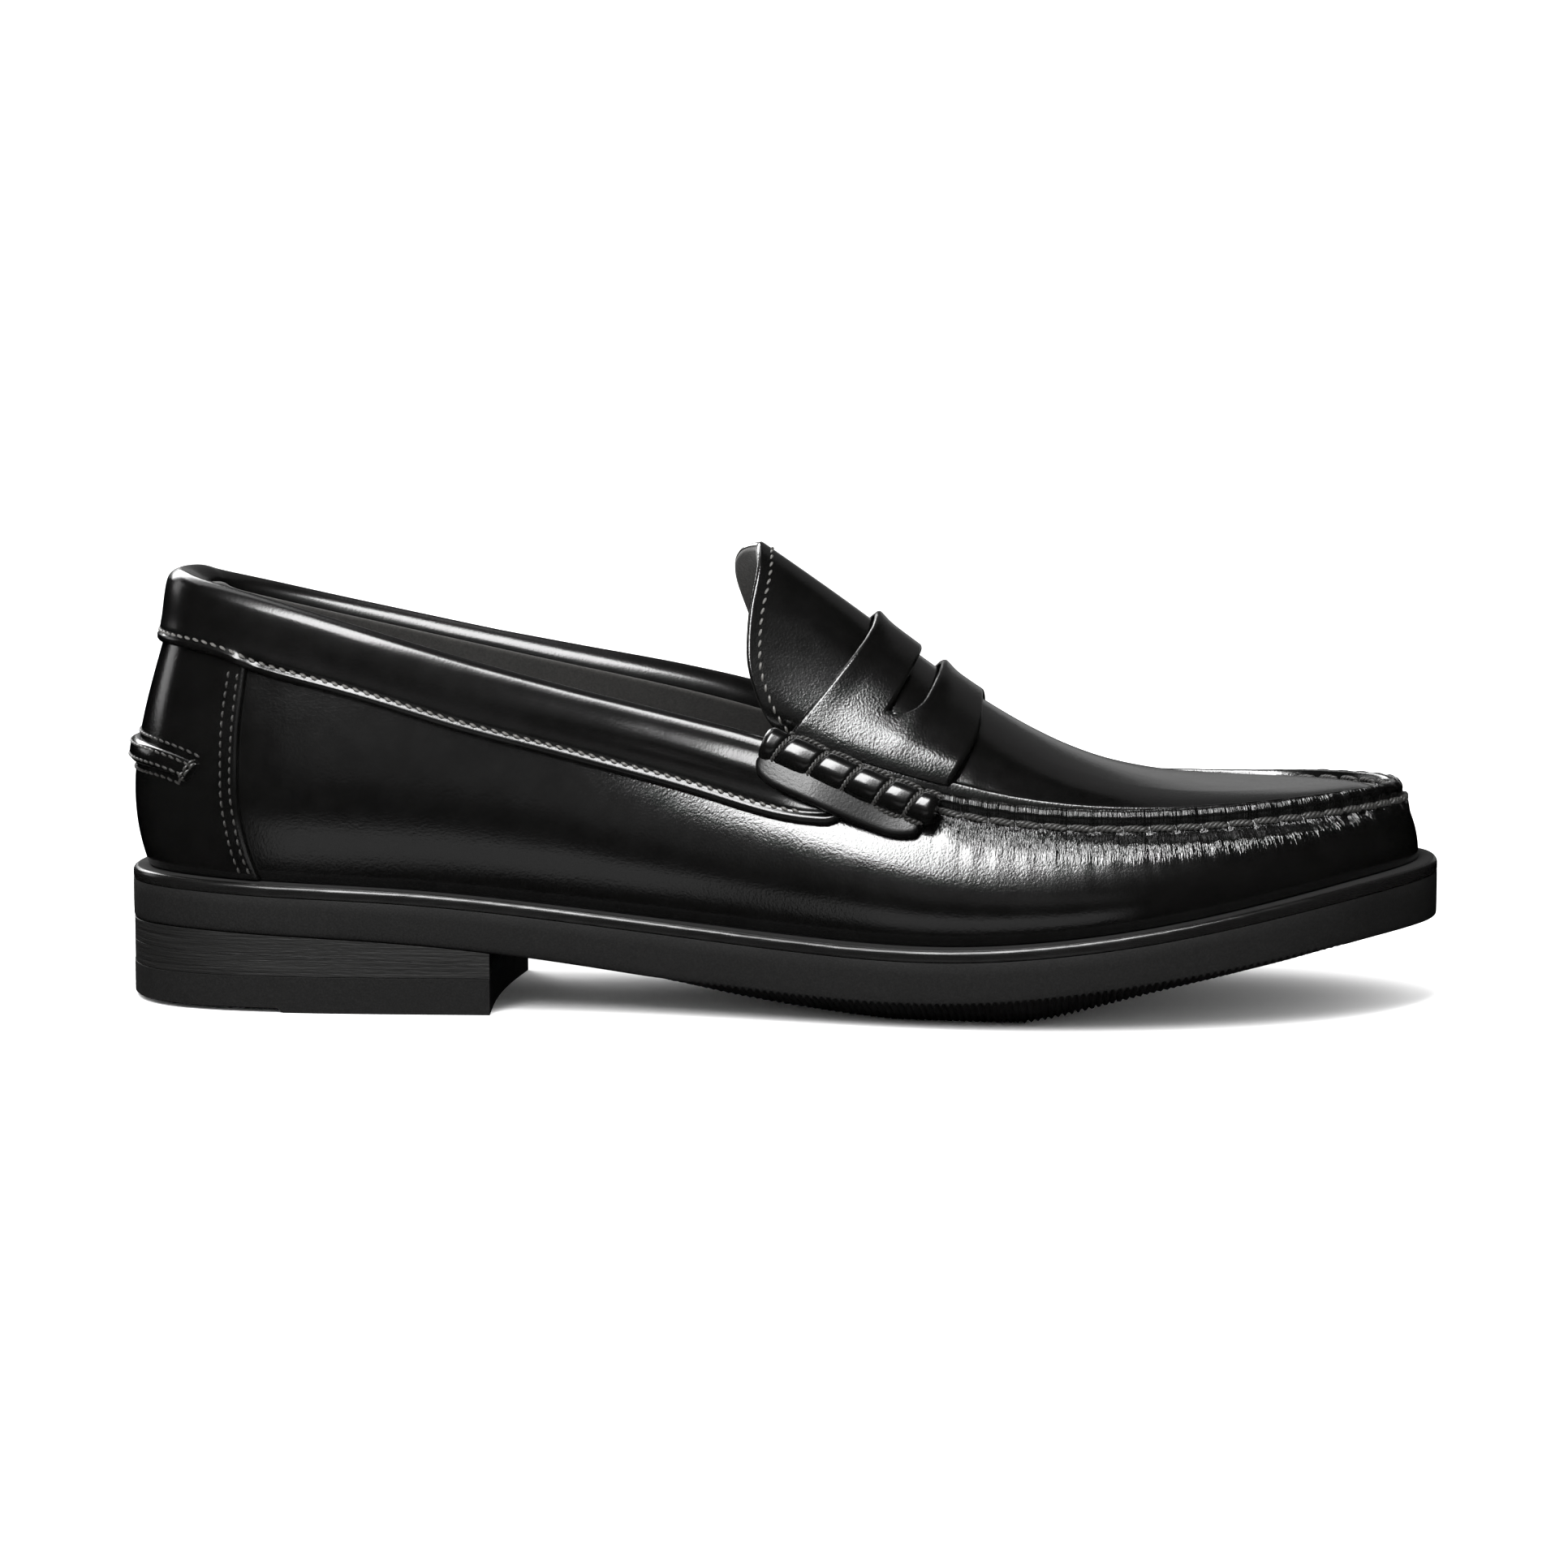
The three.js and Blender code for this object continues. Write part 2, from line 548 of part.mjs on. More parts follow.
for (const side of ['lateral', 'medial']) {
  add(`strap_end_${side}`, strapEnd(side), 'leather');
  add(`beef_roll_${side}`, bar(rollLine(side, BEEF_ROLL.lift), BEEF_ROLL.radius, 8, 12), 'leather');
  const threadLine = rollLine(side, BEEF_ROLL.lift + BEEF_ROLL.radius + THREAD_LIFT);
  add(`roll_thread_${side}`, bar(threadLine, THREAD_RADIUS, 4, 12), 'thread');
}

// ---- Threads of the long seams ----

const apronSeam = along(7.5, ROUND - 7.5, 40, (q) => wall(q, 0.9, THREAD_LIFT));
add('apron_thread', bar(apronSeam, THREAD_RADIUS, 4, 46), 'thread');
const collarSeam = along(-6.05, 6.05, 44, (q) => wall(q, wallHeight(q, COLLAR_HEIGHT - 2), 2.7));
add('collar_thread', bar(collarSeam, 0.4, 4, 44), 'thread');

export default shoe;
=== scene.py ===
import math

import bmesh
import bpy
import numpy as np
from mathutils import Matrix, Vector


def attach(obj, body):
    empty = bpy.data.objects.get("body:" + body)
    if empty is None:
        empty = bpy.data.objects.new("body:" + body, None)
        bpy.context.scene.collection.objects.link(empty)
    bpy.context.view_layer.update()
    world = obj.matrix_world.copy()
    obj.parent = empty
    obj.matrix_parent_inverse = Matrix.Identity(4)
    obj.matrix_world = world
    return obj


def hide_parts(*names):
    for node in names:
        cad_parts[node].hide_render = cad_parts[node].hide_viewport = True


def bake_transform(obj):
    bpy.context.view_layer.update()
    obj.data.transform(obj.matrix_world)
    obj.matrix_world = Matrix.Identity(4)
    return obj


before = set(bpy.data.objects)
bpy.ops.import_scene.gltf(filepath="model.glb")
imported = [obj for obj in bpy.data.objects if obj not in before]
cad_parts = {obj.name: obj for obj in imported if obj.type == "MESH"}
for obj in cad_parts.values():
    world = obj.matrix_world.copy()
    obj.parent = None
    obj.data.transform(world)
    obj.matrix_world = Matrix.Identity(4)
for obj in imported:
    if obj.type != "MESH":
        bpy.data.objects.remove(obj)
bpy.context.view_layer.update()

bl_info = {
    "name": "Penny loafer",
    "version": (1, 0, 0),
    "blender": (4, 5, 0),
    "location": "View3D > Sidebar > Loafer",
    "description": "Builds the leather, threads, sole and heel of a penny loafer round its packed frame",
    "category": "Object",
}

SHOE, TONGUE = "shoe", "tongue"
MM = 0.001

# ---- The last -------------------------------------------------------------------------------------
# Lengths are millimetres until a mesh is made. Station 0 is the back of the heel and station 13 the tip
# of the toe. A ring position runs once round the shoe: 0 to 13 along the outer (lateral) side, then 13
# to 26 back along the inner (medial) side, so that 26 - w is opposite w.

TOE = 13
ROUND = 2 * TOE
INSTEP_START = 5
GAP = 0.3
BULGE_HEIGHT = 0.28
SHOULDER_HEIGHT = 0.66
ARCH_POWER = 1.25

STATION_X = [-149.6, -145.6, -134, -112, -80, -45, -10, 25, 55, 85, 112, 132, 146.6, 150.2]
SOLE_LATERAL = [1.8, -15, -25.7, -30.7, -31.7, -32.2, -37.2, -45.2, -49.4, -48.9, -42.2, -29.4, -10, 5.8]
SOLE_MEDIAL = [1.8, 18.8, 29.3, 33.8, 32.3, 30.3, 33.3, 41.3, 47.9, 49.8, 46.8, 38.2, 21.8, 5.8]
WELT_TOP = [30, 30.2, 30, 29, 27.5, 24, 20.5, 18.2, 19.1, 23, 28, 31.3, 32.6, 33]
SOLE_EDGE = [18.3, 18.5, 18.5, 17.5, 15.7, 11.7, 7.4, 5.3, 6.6, 10.8, 15.4, 18.6, 19.6, 20]
TREAD = [18.3, 18.5, 18.5, 17.5, 15.7, 11.7, 4, 0, 0, 7, 12.5, 16.5, 18.4, 19.2]
TOP_LATERAL = [98, 97.8, 96.5, 92, 83, 73, 63.3, 53.8, 48.8, 48, 49.2, 50.2, 50.6, 50.5]
TOP_MEDIAL = [98, 97.6, 95.5, 91.3, 84.8, 77.8, 69.5, 57.5, 50.2, 48.6, 48.8, 49.6, 50.3, 50.5]
FEATHER = [5, 5, 4.8, 4.4, 4.2, 4.2, 4.4, 4.6, 4.6, 4.5, 4.4, 4.3, 4.3, 4.3]
BULGE = [2.1, 2.1, 1.9, 1.6, 1.2, 1.2, 1.8, 2.8, 3.2, 3.2, 3.2, 3.6, 4.4, 4.8]
SHOULDER = [7.1, 7, 6.2, 4.6, 3.2, 3.4, 5.2, 6.6, 7.4, 7.4, 7, 6.8, 6.9, 7]
TOPIN_LATERAL = [13.3, 13, 11.6, 8.8, 6.6, 8, 12, 14, 15.5, 15.5, 14.5, 13.2, 11.8, 11]
TOPIN_MEDIAL = [13.3, 13, 11.8, 9.8, 8, 9, 12, 14, 16, 16, 15, 13.4, 11.9, 11]
CROWN_Z = [118.5, 93.3, 73.6, 59.4, 51.6, 49.7, 49.5, 49.8, 50]
CROWN_LEAN = [20, 19.5, 10.5, 5.5, 1.5, 0, 0, 0, 0]


def closed_spline(lateral, medial):
    """A smooth closed curve of values round the shoe, one per station on each side."""
    knots = np.array(list(lateral) + list(medial[TOE - 1:0:-1]), float)
    count = len(knots)
    matrix = 4 * np.eye(count) + np.eye(count, k=1) + np.eye(count, k=-1)
    matrix[0, -1] = matrix[-1, 0] = 1
    bend = np.linalg.solve(matrix, 6 * (np.roll(knots, -1) - 2 * knots + np.roll(knots, 1)))

    def value(q):
        q = np.mod(q, count)
        i = np.floor(q).astype(int) % count
        k = (i + 1) % count
        f = q - np.floor(q)
        g = 1 - f
        return g * knots[i] + f * knots[k] + ((g**3 - g) * bend[i] + (f**3 - f) * bend[k]) / 6

    return value


def open_spline(places, values):
    """A smooth curve through values at increasing places, level beyond its ends."""
    x, y = np.array(places, float), np.array(values, float)
    count = len(x)
    h = np.diff(x)
    matrix = np.eye(count)
    right = np.zeros(count)
    for i in range(1, count - 1):
        matrix[i, i - 1:i + 2] = h[i - 1], 2 * (h[i - 1] + h[i]), h[i]
        right[i] = 6 * ((y[i + 1] - y[i]) / h[i] - (y[i] - y[i - 1]) / h[i - 1])
    bend = np.linalg.solve(matrix, right)

    def value(at):
        at = np.clip(at, x[0], x[-1])
        i = np.clip(np.searchsorted(x, at, "right") - 1, 0, count - 2)
        f = (at - x[i]) / h[i]
        g = 1 - f
        curve = (g**3 - g) * bend[i] + (f**3 - f) * bend[i + 1]
        return g * y[i] + f * y[i + 1] + h[i]**2 * curve / 6

    return value


sole_x = closed_spline(STATION_X, STATION_X)
sole_y = closed_spline(SOLE_LATERAL, SOLE_MEDIAL)
welt_top = closed_spline(WELT_TOP, WELT_TOP)
sole_edge_z = closed_spline(SOLE_EDGE, SOLE_EDGE)
tread_z = closed_spline(TREAD, TREAD)
top_z = closed_spline(TOP_LATERAL, TOP_MEDIAL)
feather_in = closed_spline(FEATHER, FEATHER)
bulge_in = closed_spline(BULGE, BULGE)
shoulder_in = closed_spline(SHOULDER, SHOULDER)
top_in = closed_spline(TOPIN_LATERAL, TOPIN_MEDIAL)
crown_z = open_spline(range(INSTEP_START, TOE + 1), CROWN_Z)
crown_lean = open_spline(range(INSTEP_START, TOE + 1), CROWN_LEAN)


def sole_edge(q, inset, z):
    """Points inside the edge of the sole by inset, at height z."""
    q, inset, z = np.broadcast_arrays(np.asarray(q, float), inset, z)
    step = 0.01
    dx = sole_x(q + step) - sole_x(q - step)
    dy = sole_y(q + step) - sole_y(q - step)
    size = np.hypot(dx, dy)
    return np.stack([sole_x(q) - inset * dy / size, sole_y(q) + inset * dx / size, z], -1)


def wall_inset(q, v):
    """How far the side wall stands inside the sole's edge at height v, 0 at the welt and 1 at the top."""
    heights = (0, BULGE_HEIGHT, SHOULDER_HEIGHT, 1)
    total = 0
    for here, inset in zip(heights, (feather_in(q), bulge_in(q), shoulder_in(q), top_in(q))):
        for other in heights:
            if other != here:
                inset = inset * (v - other) / (here - other)
        total = total + inset
    return total


def wall_skin(q, v):
    """The outside of the upper's side wall."""
    foot = welt_top(q) + GAP
    return sole_edge(q, wall_inset(q, v), foot + v * (top_z(q) - foot))


def roof_skin(w, t):
    """The outside of the instep: t is -1 at the lateral seam, 0 on the crown and 1 at the medial seam."""
    w, t = np.broadcast_arrays(np.asarray(w, float), t)
    lateral, medial = wall_skin(w, 1.0), wall_skin(ROUND - w, 1.0)
    angle = t * math.pi / 2
    arch = np.clip(np.cos(angle), 0, 1)**ARCH_POWER
    share = ((1 + np.sin(angle)) / 2)[..., None]
    point = lateral * (1 - share) + medial * share
    rise = crown_z(w) - (lateral[..., 2] + medial[..., 2]) / 2
    point[..., 0] += crown_lean(w) * arch
    point[..., 2] += rise * arch
    return point


def placed(skin, a, b):
    """Points of a skin and its outward normals there."""
    step = 0.004
    along_a = skin(a + step, b) - skin(a - step, b)
    along_b = skin(a, b + step) - skin(a, b - step)
    return skin(a, b), unit(np.cross(along_a, along_b))


def lifted(skin, a, b, lift):
    """Points of a skin moved along its outward normal."""
    a, b, lift = np.broadcast_arrays(np.asarray(a, float), b, lift)
    point, normal = placed(skin, a, b)
    return point + normal * lift[..., None]


def wall_height(q, depth):
    """The wall's v at a depth below its top edge."""
    return 1 - depth / (top_z(q) - welt_top(q) - GAP)


def smooth(value, first, last):
    """0 before first, 1 after last, and a smooth step between them."""
    x = np.clip((np.asarray(value, float) - first) / (last - first), 0, 1)
    return x * x * (3 - 2 * x)


def mix(a, b, share):
    """a where share is 0 and b where it is 1."""
    return a + (b - a) * share


def on_side(side, q):
    """A lateral ring position, or the one opposite it on the medial side."""
    return q if side == "lateral" else ROUND - q


# ---- Shapes ---------------------------------------------------------------------------------------

TUBE_SIDES = 6
TWIST = 3.4
WELD = 1e-7


class Shape:
    """The points and faces of one piece, gathered from closed parts."""

    def __init__(self):
        self.points, self.faces, self.patterns, self.count = [], [], [], 0

    def add(self, points, faces, pattern=None):
        points = points.reshape(-1, 3)
        corners = points[faces]
        volume = np.einsum("ij,ij->i", corners[:, 0], np.cross(corners[:, 1], corners[:, 2])).sum()
        volume += np.einsum("ij,ij->i", corners[:, 0], np.cross(corners[:, 2], corners[:, 3])).sum()
        if volume < 0:
            faces = faces[:, ::-1]
        self.points.append(points)
        self.faces.append(faces + self.count)
        self.patterns.append(np.zeros((len(points), 2)) if pattern is None else pattern.reshape(-1, 2))
        self.count += len(points)
        return self


def loft(shape, points, ring=False, pattern=None):
    """Joins closed sections, rows of points, into a closed solid. A ring joins its last one to its first."""
    rows, columns = points.shape[:2]
    index = np.arange(rows * columns).reshape(rows, columns)
    here = index if ring else index[:-1]
    ahead = np.roll(index, -1, 0) if ring else index[1:]
    faces = [np.stack([here, ahead, np.roll(ahead, -1, 1), np.roll(here, -1, 1)], -1).reshape(-1, 4)]
    if not ring:
        j = np.arange(columns // 2 - 1)
        for row, turn in ((index[0], 1), (index[-1], -1)):
            cap = np.stack([row[j], row[j + 1], row[columns - 2 - j], row[columns - 1 - j]], -1)
            faces.append(cap[:, ::turn])
    return shape.add(points, np.concatenate(faces), pattern)


def slab(shape, over, under, ring=False, pattern=None):
    """A closed sheet between two grids of points."""
    points = np.concatenate([over, under[:, ::-1]], 1)
    if pattern is not None:
        pattern = np.concatenate([pattern, pattern[:, ::-1]], 1)
    return loft(shape, points, ring, pattern)


def run_lengths(points):
    """Length along a line of points, from its first."""
    steps = np.linalg.norm(np.diff(points, axis=0), axis=-1)
    return np.concatenate([[0], np.cumsum(steps)])


def edge_distance(grid):
    """How far each point of a grid is from the grid's nearest edge, measured along its rows and columns."""
    nearest = None
    for axis in (0, 1):
        steps = np.linalg.norm(np.diff(grid, axis=axis), axis=-1)
        run = np.concatenate([np.zeros_like(np.take(steps, [0], axis)), np.cumsum(steps, axis)], axis)
        near = np.minimum(run, np.take(run, [-1], axis) - run)
        nearest = near if nearest is None else np.minimum(nearest, near)
    return nearest


def nearest_to(points, line):
    """How far each point is from a line of points, and which of them is nearest."""
    distances, indexes = [], []
    for part in np.array_split(points.reshape(-1, points.shape[-1]), 60):
        square = ((part[:, None] - line[None])**2).sum(-1)
        indexes.append(square.argmin(1))
        distances.append(np.sqrt(square.min(1)))
    return (np.concatenate(found).reshape(points.shape[:-1]) for found in (distances, indexes))


def distance_to(points, line):
    """How far each point is from a line of points."""
    return next(nearest_to(points, line))


def rounding(distance, radius):
    """How far a surface drops near an edge that is rounded to radius."""
    x = 1 - np.clip(distance / radius, 0, 1)
    return radius * (1 - np.sqrt(np.clip(1 - x * x, 0, 1)))


def spread(count, near=0.03):
    """Shares from 0 to 1, closer together at both ends."""
    ends = near * np.array([0.06, 0.2, 0.4, 0.7])
    return np.unique(np.concatenate([np.linspace(0, 1, count + 1), ends, 1 - ends]).round(6))


def panel(shape, skin, a, b, low, high, edge=0.6, pattern=None):
    """A leather or cloth panel on a skin between two lifts, with its upper edges rounded."""
    a, b, low, high = np.broadcast_arrays(a, b, low, high)
    drop = rounding(edge_distance(lifted(skin, a, b, high)), edge)
    return slab(shape, lifted(skin, a, b, high - drop), lifted(skin, a, b, low), pattern=pattern)


def unit(vectors):
    return vectors / np.linalg.norm(vectors, axis=-1, keepdims=True)


def across(path, normals):
    """Unit vectors square to a path: one that lies on the surface and one that stands up from it."""
    along = unit(np.gradient(path, axis=0))
    side = unit(np.cross(along, normals))
    return side, np.cross(side, along)


def tube(shape, path, normals, radius):
    """A closed round bar along a path."""
    side, up = across(path, normals)
    angle = np.linspace(0, 2 * math.pi, TUBE_SIDES, endpoint=False)[None, :, None]
    ring = np.cos(angle) * side[:, None] + np.sin(angle) * up[:, None]
    return loft(shape, path[:, None] + radius[:, None, None] * ring)


def rope(shape, path, normals, radius, pitch, strands=3, taper=0.0, start=0.0):
    """A twisted thread: strands wound round a path, drawn in at its ends by a share taper."""
    side, up = across(path, normals)
    run = run_lengths(path)
    share = run / run[-1]
    ends = 1 - taper * (1 - np.clip(np.minimum(share, 1 - share) / 0.14, 0, 1))**2
    for k in range(strands):
        angle = (2 * math.pi * (run / pitch + k / strands) + start)[:, None]
        offset = 0.56 * radius * ends[:, None] * (np.cos(angle) * side + np.sin(angle) * up)
        tube(shape, path + offset, normals, 0.5 * radius * ends)
    return shape


def resampled(path, normals, at):
    """Points and normals of a path at lengths along it."""
    run = run_lengths(path)
    point = np.stack([np.interp(at, run, path[:, k]) for k in range(3)], -1)
    normal = np.stack([np.interp(at, run, normals[:, k]) for k in range(3)], -1)
    return point, unit(normal)


def stitches(shape, path, normals, pitch, length, radius, rise, sink, twisted=False, skew=0.0):
    """A row of stitches on a path: each one comes up out of the leather and goes down again."""
    total = run_lengths(path)[-1]
    count = max(1, int(round(total / pitch)))
    gap = (total / count - length) / 2
    share = np.linspace(0, 1, 15 if twisted else 8)
    for k in range(count):
        at = total * k / count + gap + share * length
        point, normal = resampled(path, normals, at)
        side, _ = across(point, normal)
        lift = -sink + (sink + rise) * np.sin(math.pi * share)**0.45
        point = point + normal * lift[:, None] + side * (skew * (share[:, None] - 0.5))
        if twisted:
            rope(shape, point, normal, radius, TWIST, taper=0.5, start=1.7 * k)
        else:
            ends = np.clip(np.sin(math.pi * np.clip(share, 0.06, 0.94)), 0, 1)**0.4
            tube(shape, point, normal, radius * ends)
    return shape


def made(name, shape, finish, stands_for=(), body=SHOE, sharp=42, bends=None, weld=False):
    """Makes a Blender object of a shape and ties it to the frame; a piece given bends is tied to nothing."""
    mesh = bpy.data.meshes.new(name)
    points = np.concatenate(shape.points) * MM
    mesh.from_pydata(points.tolist(), [], np.concatenate(shape.faces).tolist())
    corners = np.empty(len(mesh.loops), np.int32)  # which point each face corner uses
    mesh.loops.foreach_get("vertex_index", corners)
    pattern = mesh.uv_layers.new(name="pattern")
    pattern.data.foreach_set("uv", np.concatenate(shape.patterns)[corners].astype(np.float32).ravel())
    if weld:
        welded = bmesh.new()
        welded.from_mesh(mesh)
        bmesh.ops.remove_doubles(welded, verts=welded.verts, dist=WELD)
        bmesh.ops.recalc_face_normals(welded, faces=welded.faces)
        welded.to_mesh(mesh)
        welded.free()
    mesh.validate()
    mesh.shade_smooth()
    mesh.set_sharp_from_angle(angle=math.radians(sharp))
    mesh.materials.append(finish)
    piece = bpy.data.objects.new(name, mesh)
    bpy.context.scene.collection.objects.link(piece)
    if bends:
        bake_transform(piece)
    else:
        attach(piece, body)
    if stands_for:
        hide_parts(*stands_for)
    return piece


# ---- Finishes -------------------------------------------------------------------------------------

def linear(colour):
    """A colour property as a shader wants it."""
    return (*tuple(colour)[:3], 1.0)


class Finish:
    """A material under construction, with short ways to add nodes."""

    def __init__(self, name, **sockets):
        self.material = bpy.data.materials.new(name)
        self.material.use_nodes = True
        self.tree = self.material.node_tree
        self.shader = self.tree.nodes["Principled BSDF"]
        for key, value in sockets.items():
            self.shader.inputs[key.replace("_", " ")].default_value = value

    def node(self, kind, settings=None, **inputs):
        made_node = self.tree.nodes.new(kind)
        for key, value in (settings or {}).items():
            setattr(made_node, key, value)
        for key, value in inputs.items():
            self.feed(made_node.inputs[key.replace("_", " ")], value)
        return made_node

    def feed(self, socket, value):
        if isinstance(value, bpy.types.NodeSocket):
            self.tree.links.new(value, socket)
        else:
            socket.default_value = value

    def places(self):
        """The piece's own coordinates, in metres."""
        return self.node("ShaderNodeTexCoord").outputs["Object"]

    def pattern(self):
        """The piece's laid-out coordinates, in millimetres along and across it."""
        return self.node("ShaderNodeUVMap", {"uv_map": "pattern"}).outputs["UV"]

    def stretched(self, vector, scale):
        return self.node("ShaderNodeMapping", Vector=vector, Scale=scale).outputs["Vector"]

    def noise(self, vector, scale, detail=2.0, roughness=0.5):
        return self.node("ShaderNodeTexNoise", Vector=vector, Scale=scale, Detail=detail,
                         Roughness=roughness).outputs["Fac"]

    def cells(self, vector, scale, feature="F1"):
        return self.node("ShaderNodeTexVoronoi", {"feature": feature}, Vector=vector,
                         Scale=scale).outputs["Distance"]

    def ranged(self, value, low, high, out_low, out_high, curve="LINEAR"):
        made_node = self.node("ShaderNodeMapRange", {"interpolation_type": curve}, Value=value)
        for socket, number in zip(made_node.inputs[1:5], (low, high, out_low, out_high)):
            self.feed(socket, number)
        return made_node.outputs["Result"]

    def maths(self, operation, first, second=0.0):
        made_node = self.node("ShaderNodeMath", {"operation": operation})
        self.feed(made_node.inputs[0], first)
        self.feed(made_node.inputs[1], second)
        return made_node.outputs["Value"]

    def colours(self, share, first, second):
        made_node = self.node("ShaderNodeMix", {"data_type": "RGBA"})
        self.feed(made_node.inputs[0], share)
        self.feed(made_node.inputs[6], first)
        self.feed(made_node.inputs[7], second)
        return made_node.outputs[2]

    def bump(self, height, strength, distance, below=None):
        made_node = self.node("ShaderNodeBump", Height=height, Strength=strength, Distance=distance)
        if below is not None:
            self.feed(made_node.inputs["Normal"], below)
        return made_node.outputs["Normal"]

    def shade(self, colour=None, roughness=None, normal=None):
        for key, value in (("Base Color", colour), ("Roughness", roughness), ("Normal", normal)):
            if value is not None:
                self.feed(self.shader.inputs[key], value)
        return self.material


def shade_of(colour, factor):
    """A lighter or darker shade of a colour."""
    return linear([channel * factor for channel in tuple(colour)[:3]])


def calf(name, colour, rough, coat, grain, waves, puckers=False):
    """Polished calf: a black dyed grain under a coat of wax, with soft waves where the last shows through.
    Near the apron seam, fine creases run down from the stitches."""
    finish = Finish(name, Coat_Weight=coat, Coat_Roughness=0.09, IOR=1.5)
    places = finish.places()
    pores = finish.cells(places, 2900.0, "SMOOTH_F1")
    pebble = finish.noise(places, 1700.0, 2.0, 0.6)
    broad = finish.noise(places, 60.0, 2.0, 0.5)
    worn = finish.noise(places, 180.0, 4.0, 0.6)
    normal = finish.bump(broad, 0.3 * waves, 0.0006)
    if puckers:
        laid = finish.pattern()
        depth = finish.node("ShaderNodeSeparateXYZ", Vector=laid).outputs["Y"]
        fan = finish.stretched(laid, (1.0, 0.18, 1.0))
        creases = finish.noise(fan, 1.0, 3.0, 0.65)
        reach = finish.ranged(depth, 0.0, 7.5, 1.0, 0.0, "SMOOTHSTEP")
        normal = finish.bump(finish.maths("MULTIPLY", creases, reach), 0.9, 0.0011, normal)
    normal = finish.bump(pebble, 0.12 * grain, 0.0003, normal)
    normal = finish.bump(pores, 0.05 * grain, 0.0002, normal)
    share = finish.ranged(worn, 0.3, 0.75, 0.0, 1.0)
    shades = finish.colours(share, shade_of(colour, 0.8), shade_of(colour, 1.3))
    roughness = finish.ranged(worn, 0.25, 0.75, rough - 0.02, rough + 0.02)
    finish.feed(finish.shader.inputs["Coat Normal"], normal)
    return finish.shade(shades, roughness, normal)


def suede(name, colour):
    """Dyed suede lining: a short matt nap with darker and lighter brushed patches."""
    finish = Finish(name, Sheen_Weight=0.25, Sheen_Roughness=0.5, Specular_IOR_Level=0.2)
    places = finish.places()
    nap = finish.noise(places, 1700.0, 4.0, 0.7)
    brushed = finish.noise(places, 120.0, 3.0, 0.6)
    speck = finish.ranged(nap, 0.35, 0.72, 0.0, 1.0)
    share = finish.maths("MULTIPLY_ADD", speck, 0.6)
    finish.feed(share.node.inputs[2], finish.maths("MULTIPLY", brushed, 0.4))
    shades = finish.colours(share, shade_of(colour, 0.45), shade_of(colour, 1.7))
    return finish.shade(shades, finish.ranged(nap, 0.3, 0.7, 0.85, 1.0), finish.bump(nap, 0.6, 0.0004))


def rubber(name, colour):
    """Moulded rubber with a fine matt speckle."""
    finish = Finish(name, Specular_IOR_Level=0.2)
    places = finish.places()
    dust = finish.noise(places, 2300.0, 3.0, 0.7)
    flow = finish.noise(places, 60.0, 3.0, 0.5)
    share = finish.ranged(dust, 0.42, 0.7, 0.0, 1.0)
    shades = finish.colours(share, shade_of(colour, 0.75), shade_of(colour, 1.45))
    roughness = finish.ranged(flow, 0.3, 0.7, 0.6, 0.74)
    return finish.shade(shades, roughness, finish.bump(dust, 0.35, 0.00025))


def stacked(name, colour):
    """Stacked heel board, edge-dyed black: fine level grain lines."""
    finish = Finish(name, Coat_Weight=0.15, Coat_Roughness=0.35)
    places = finish.places()
    lines = finish.noise(finish.stretched(places, (30.0, 30.0, 1700.0)), 1.0, 4.0, 0.65)
    fibres = finish.noise(finish.stretched(places, (260.0, 260.0, 2600.0)), 1.0, 2.0, 0.6)
    share = finish.ranged(lines, 0.35, 0.7, 0.0, 1.0)
    shades = finish.colours(share, shade_of(colour, 0.65), shade_of(colour, 1.5))
    normal = finish.bump(fibres, 0.3, 0.0003, finish.bump(lines, 0.45, 0.0003))
    return finish.shade(shades, finish.ranged(lines, 0.3, 0.7, 0.46, 0.6), normal)


def burnished(name, colour, rough):
    """The welt: its edge is inked and burnished, with faint scratches along it, and its top is matt."""
    finish = Finish(name)
    places = finish.places()
    scratches = finish.noise(finish.stretched(places, (60.0, 60.0, 1500.0)), 1.0, 3.0, 0.6)
    wear = finish.noise(places, 350.0, 3.0, 0.6)
    shades = finish.colours(wear, shade_of(colour, 0.7), shade_of(colour, 1.35))
    normal = finish.node("ShaderNodeNewGeometry").outputs["Normal"]
    facing = finish.node("ShaderNodeSeparateXYZ", Vector=normal)
    burnish = finish.ranged(scratches, 0.3, 0.7, rough - 0.05, rough + 0.08)
    matt = finish.ranged(facing.outputs["Z"], 0.93, 0.995, 0.0, 0.65)
    return finish.shade(shades, finish.maths("ADD", burnish, matt), finish.bump(scratches, 0.25, 0.0002))


def waxed(name, colour, rough):
    """Waxed thread: twisted fibres with a low shine."""
    finish = Finish(name, Coat_Weight=0.25, Coat_Roughness=0.25)
    places = finish.places()
    fibres = finish.noise(places, 5200.0, 2.0, 0.6)
    wax = finish.noise(places, 900.0, 2.0, 0.5)
    shades = finish.colours(fibres, shade_of(colour, 0.6), shade_of(colour, 1.6))
    return finish.shade(shades, finish.ranged(wax, 0.3, 0.7, rough - 0.08, rough + 0.1),
                        finish.bump(fibres, 0.5, 0.00025))


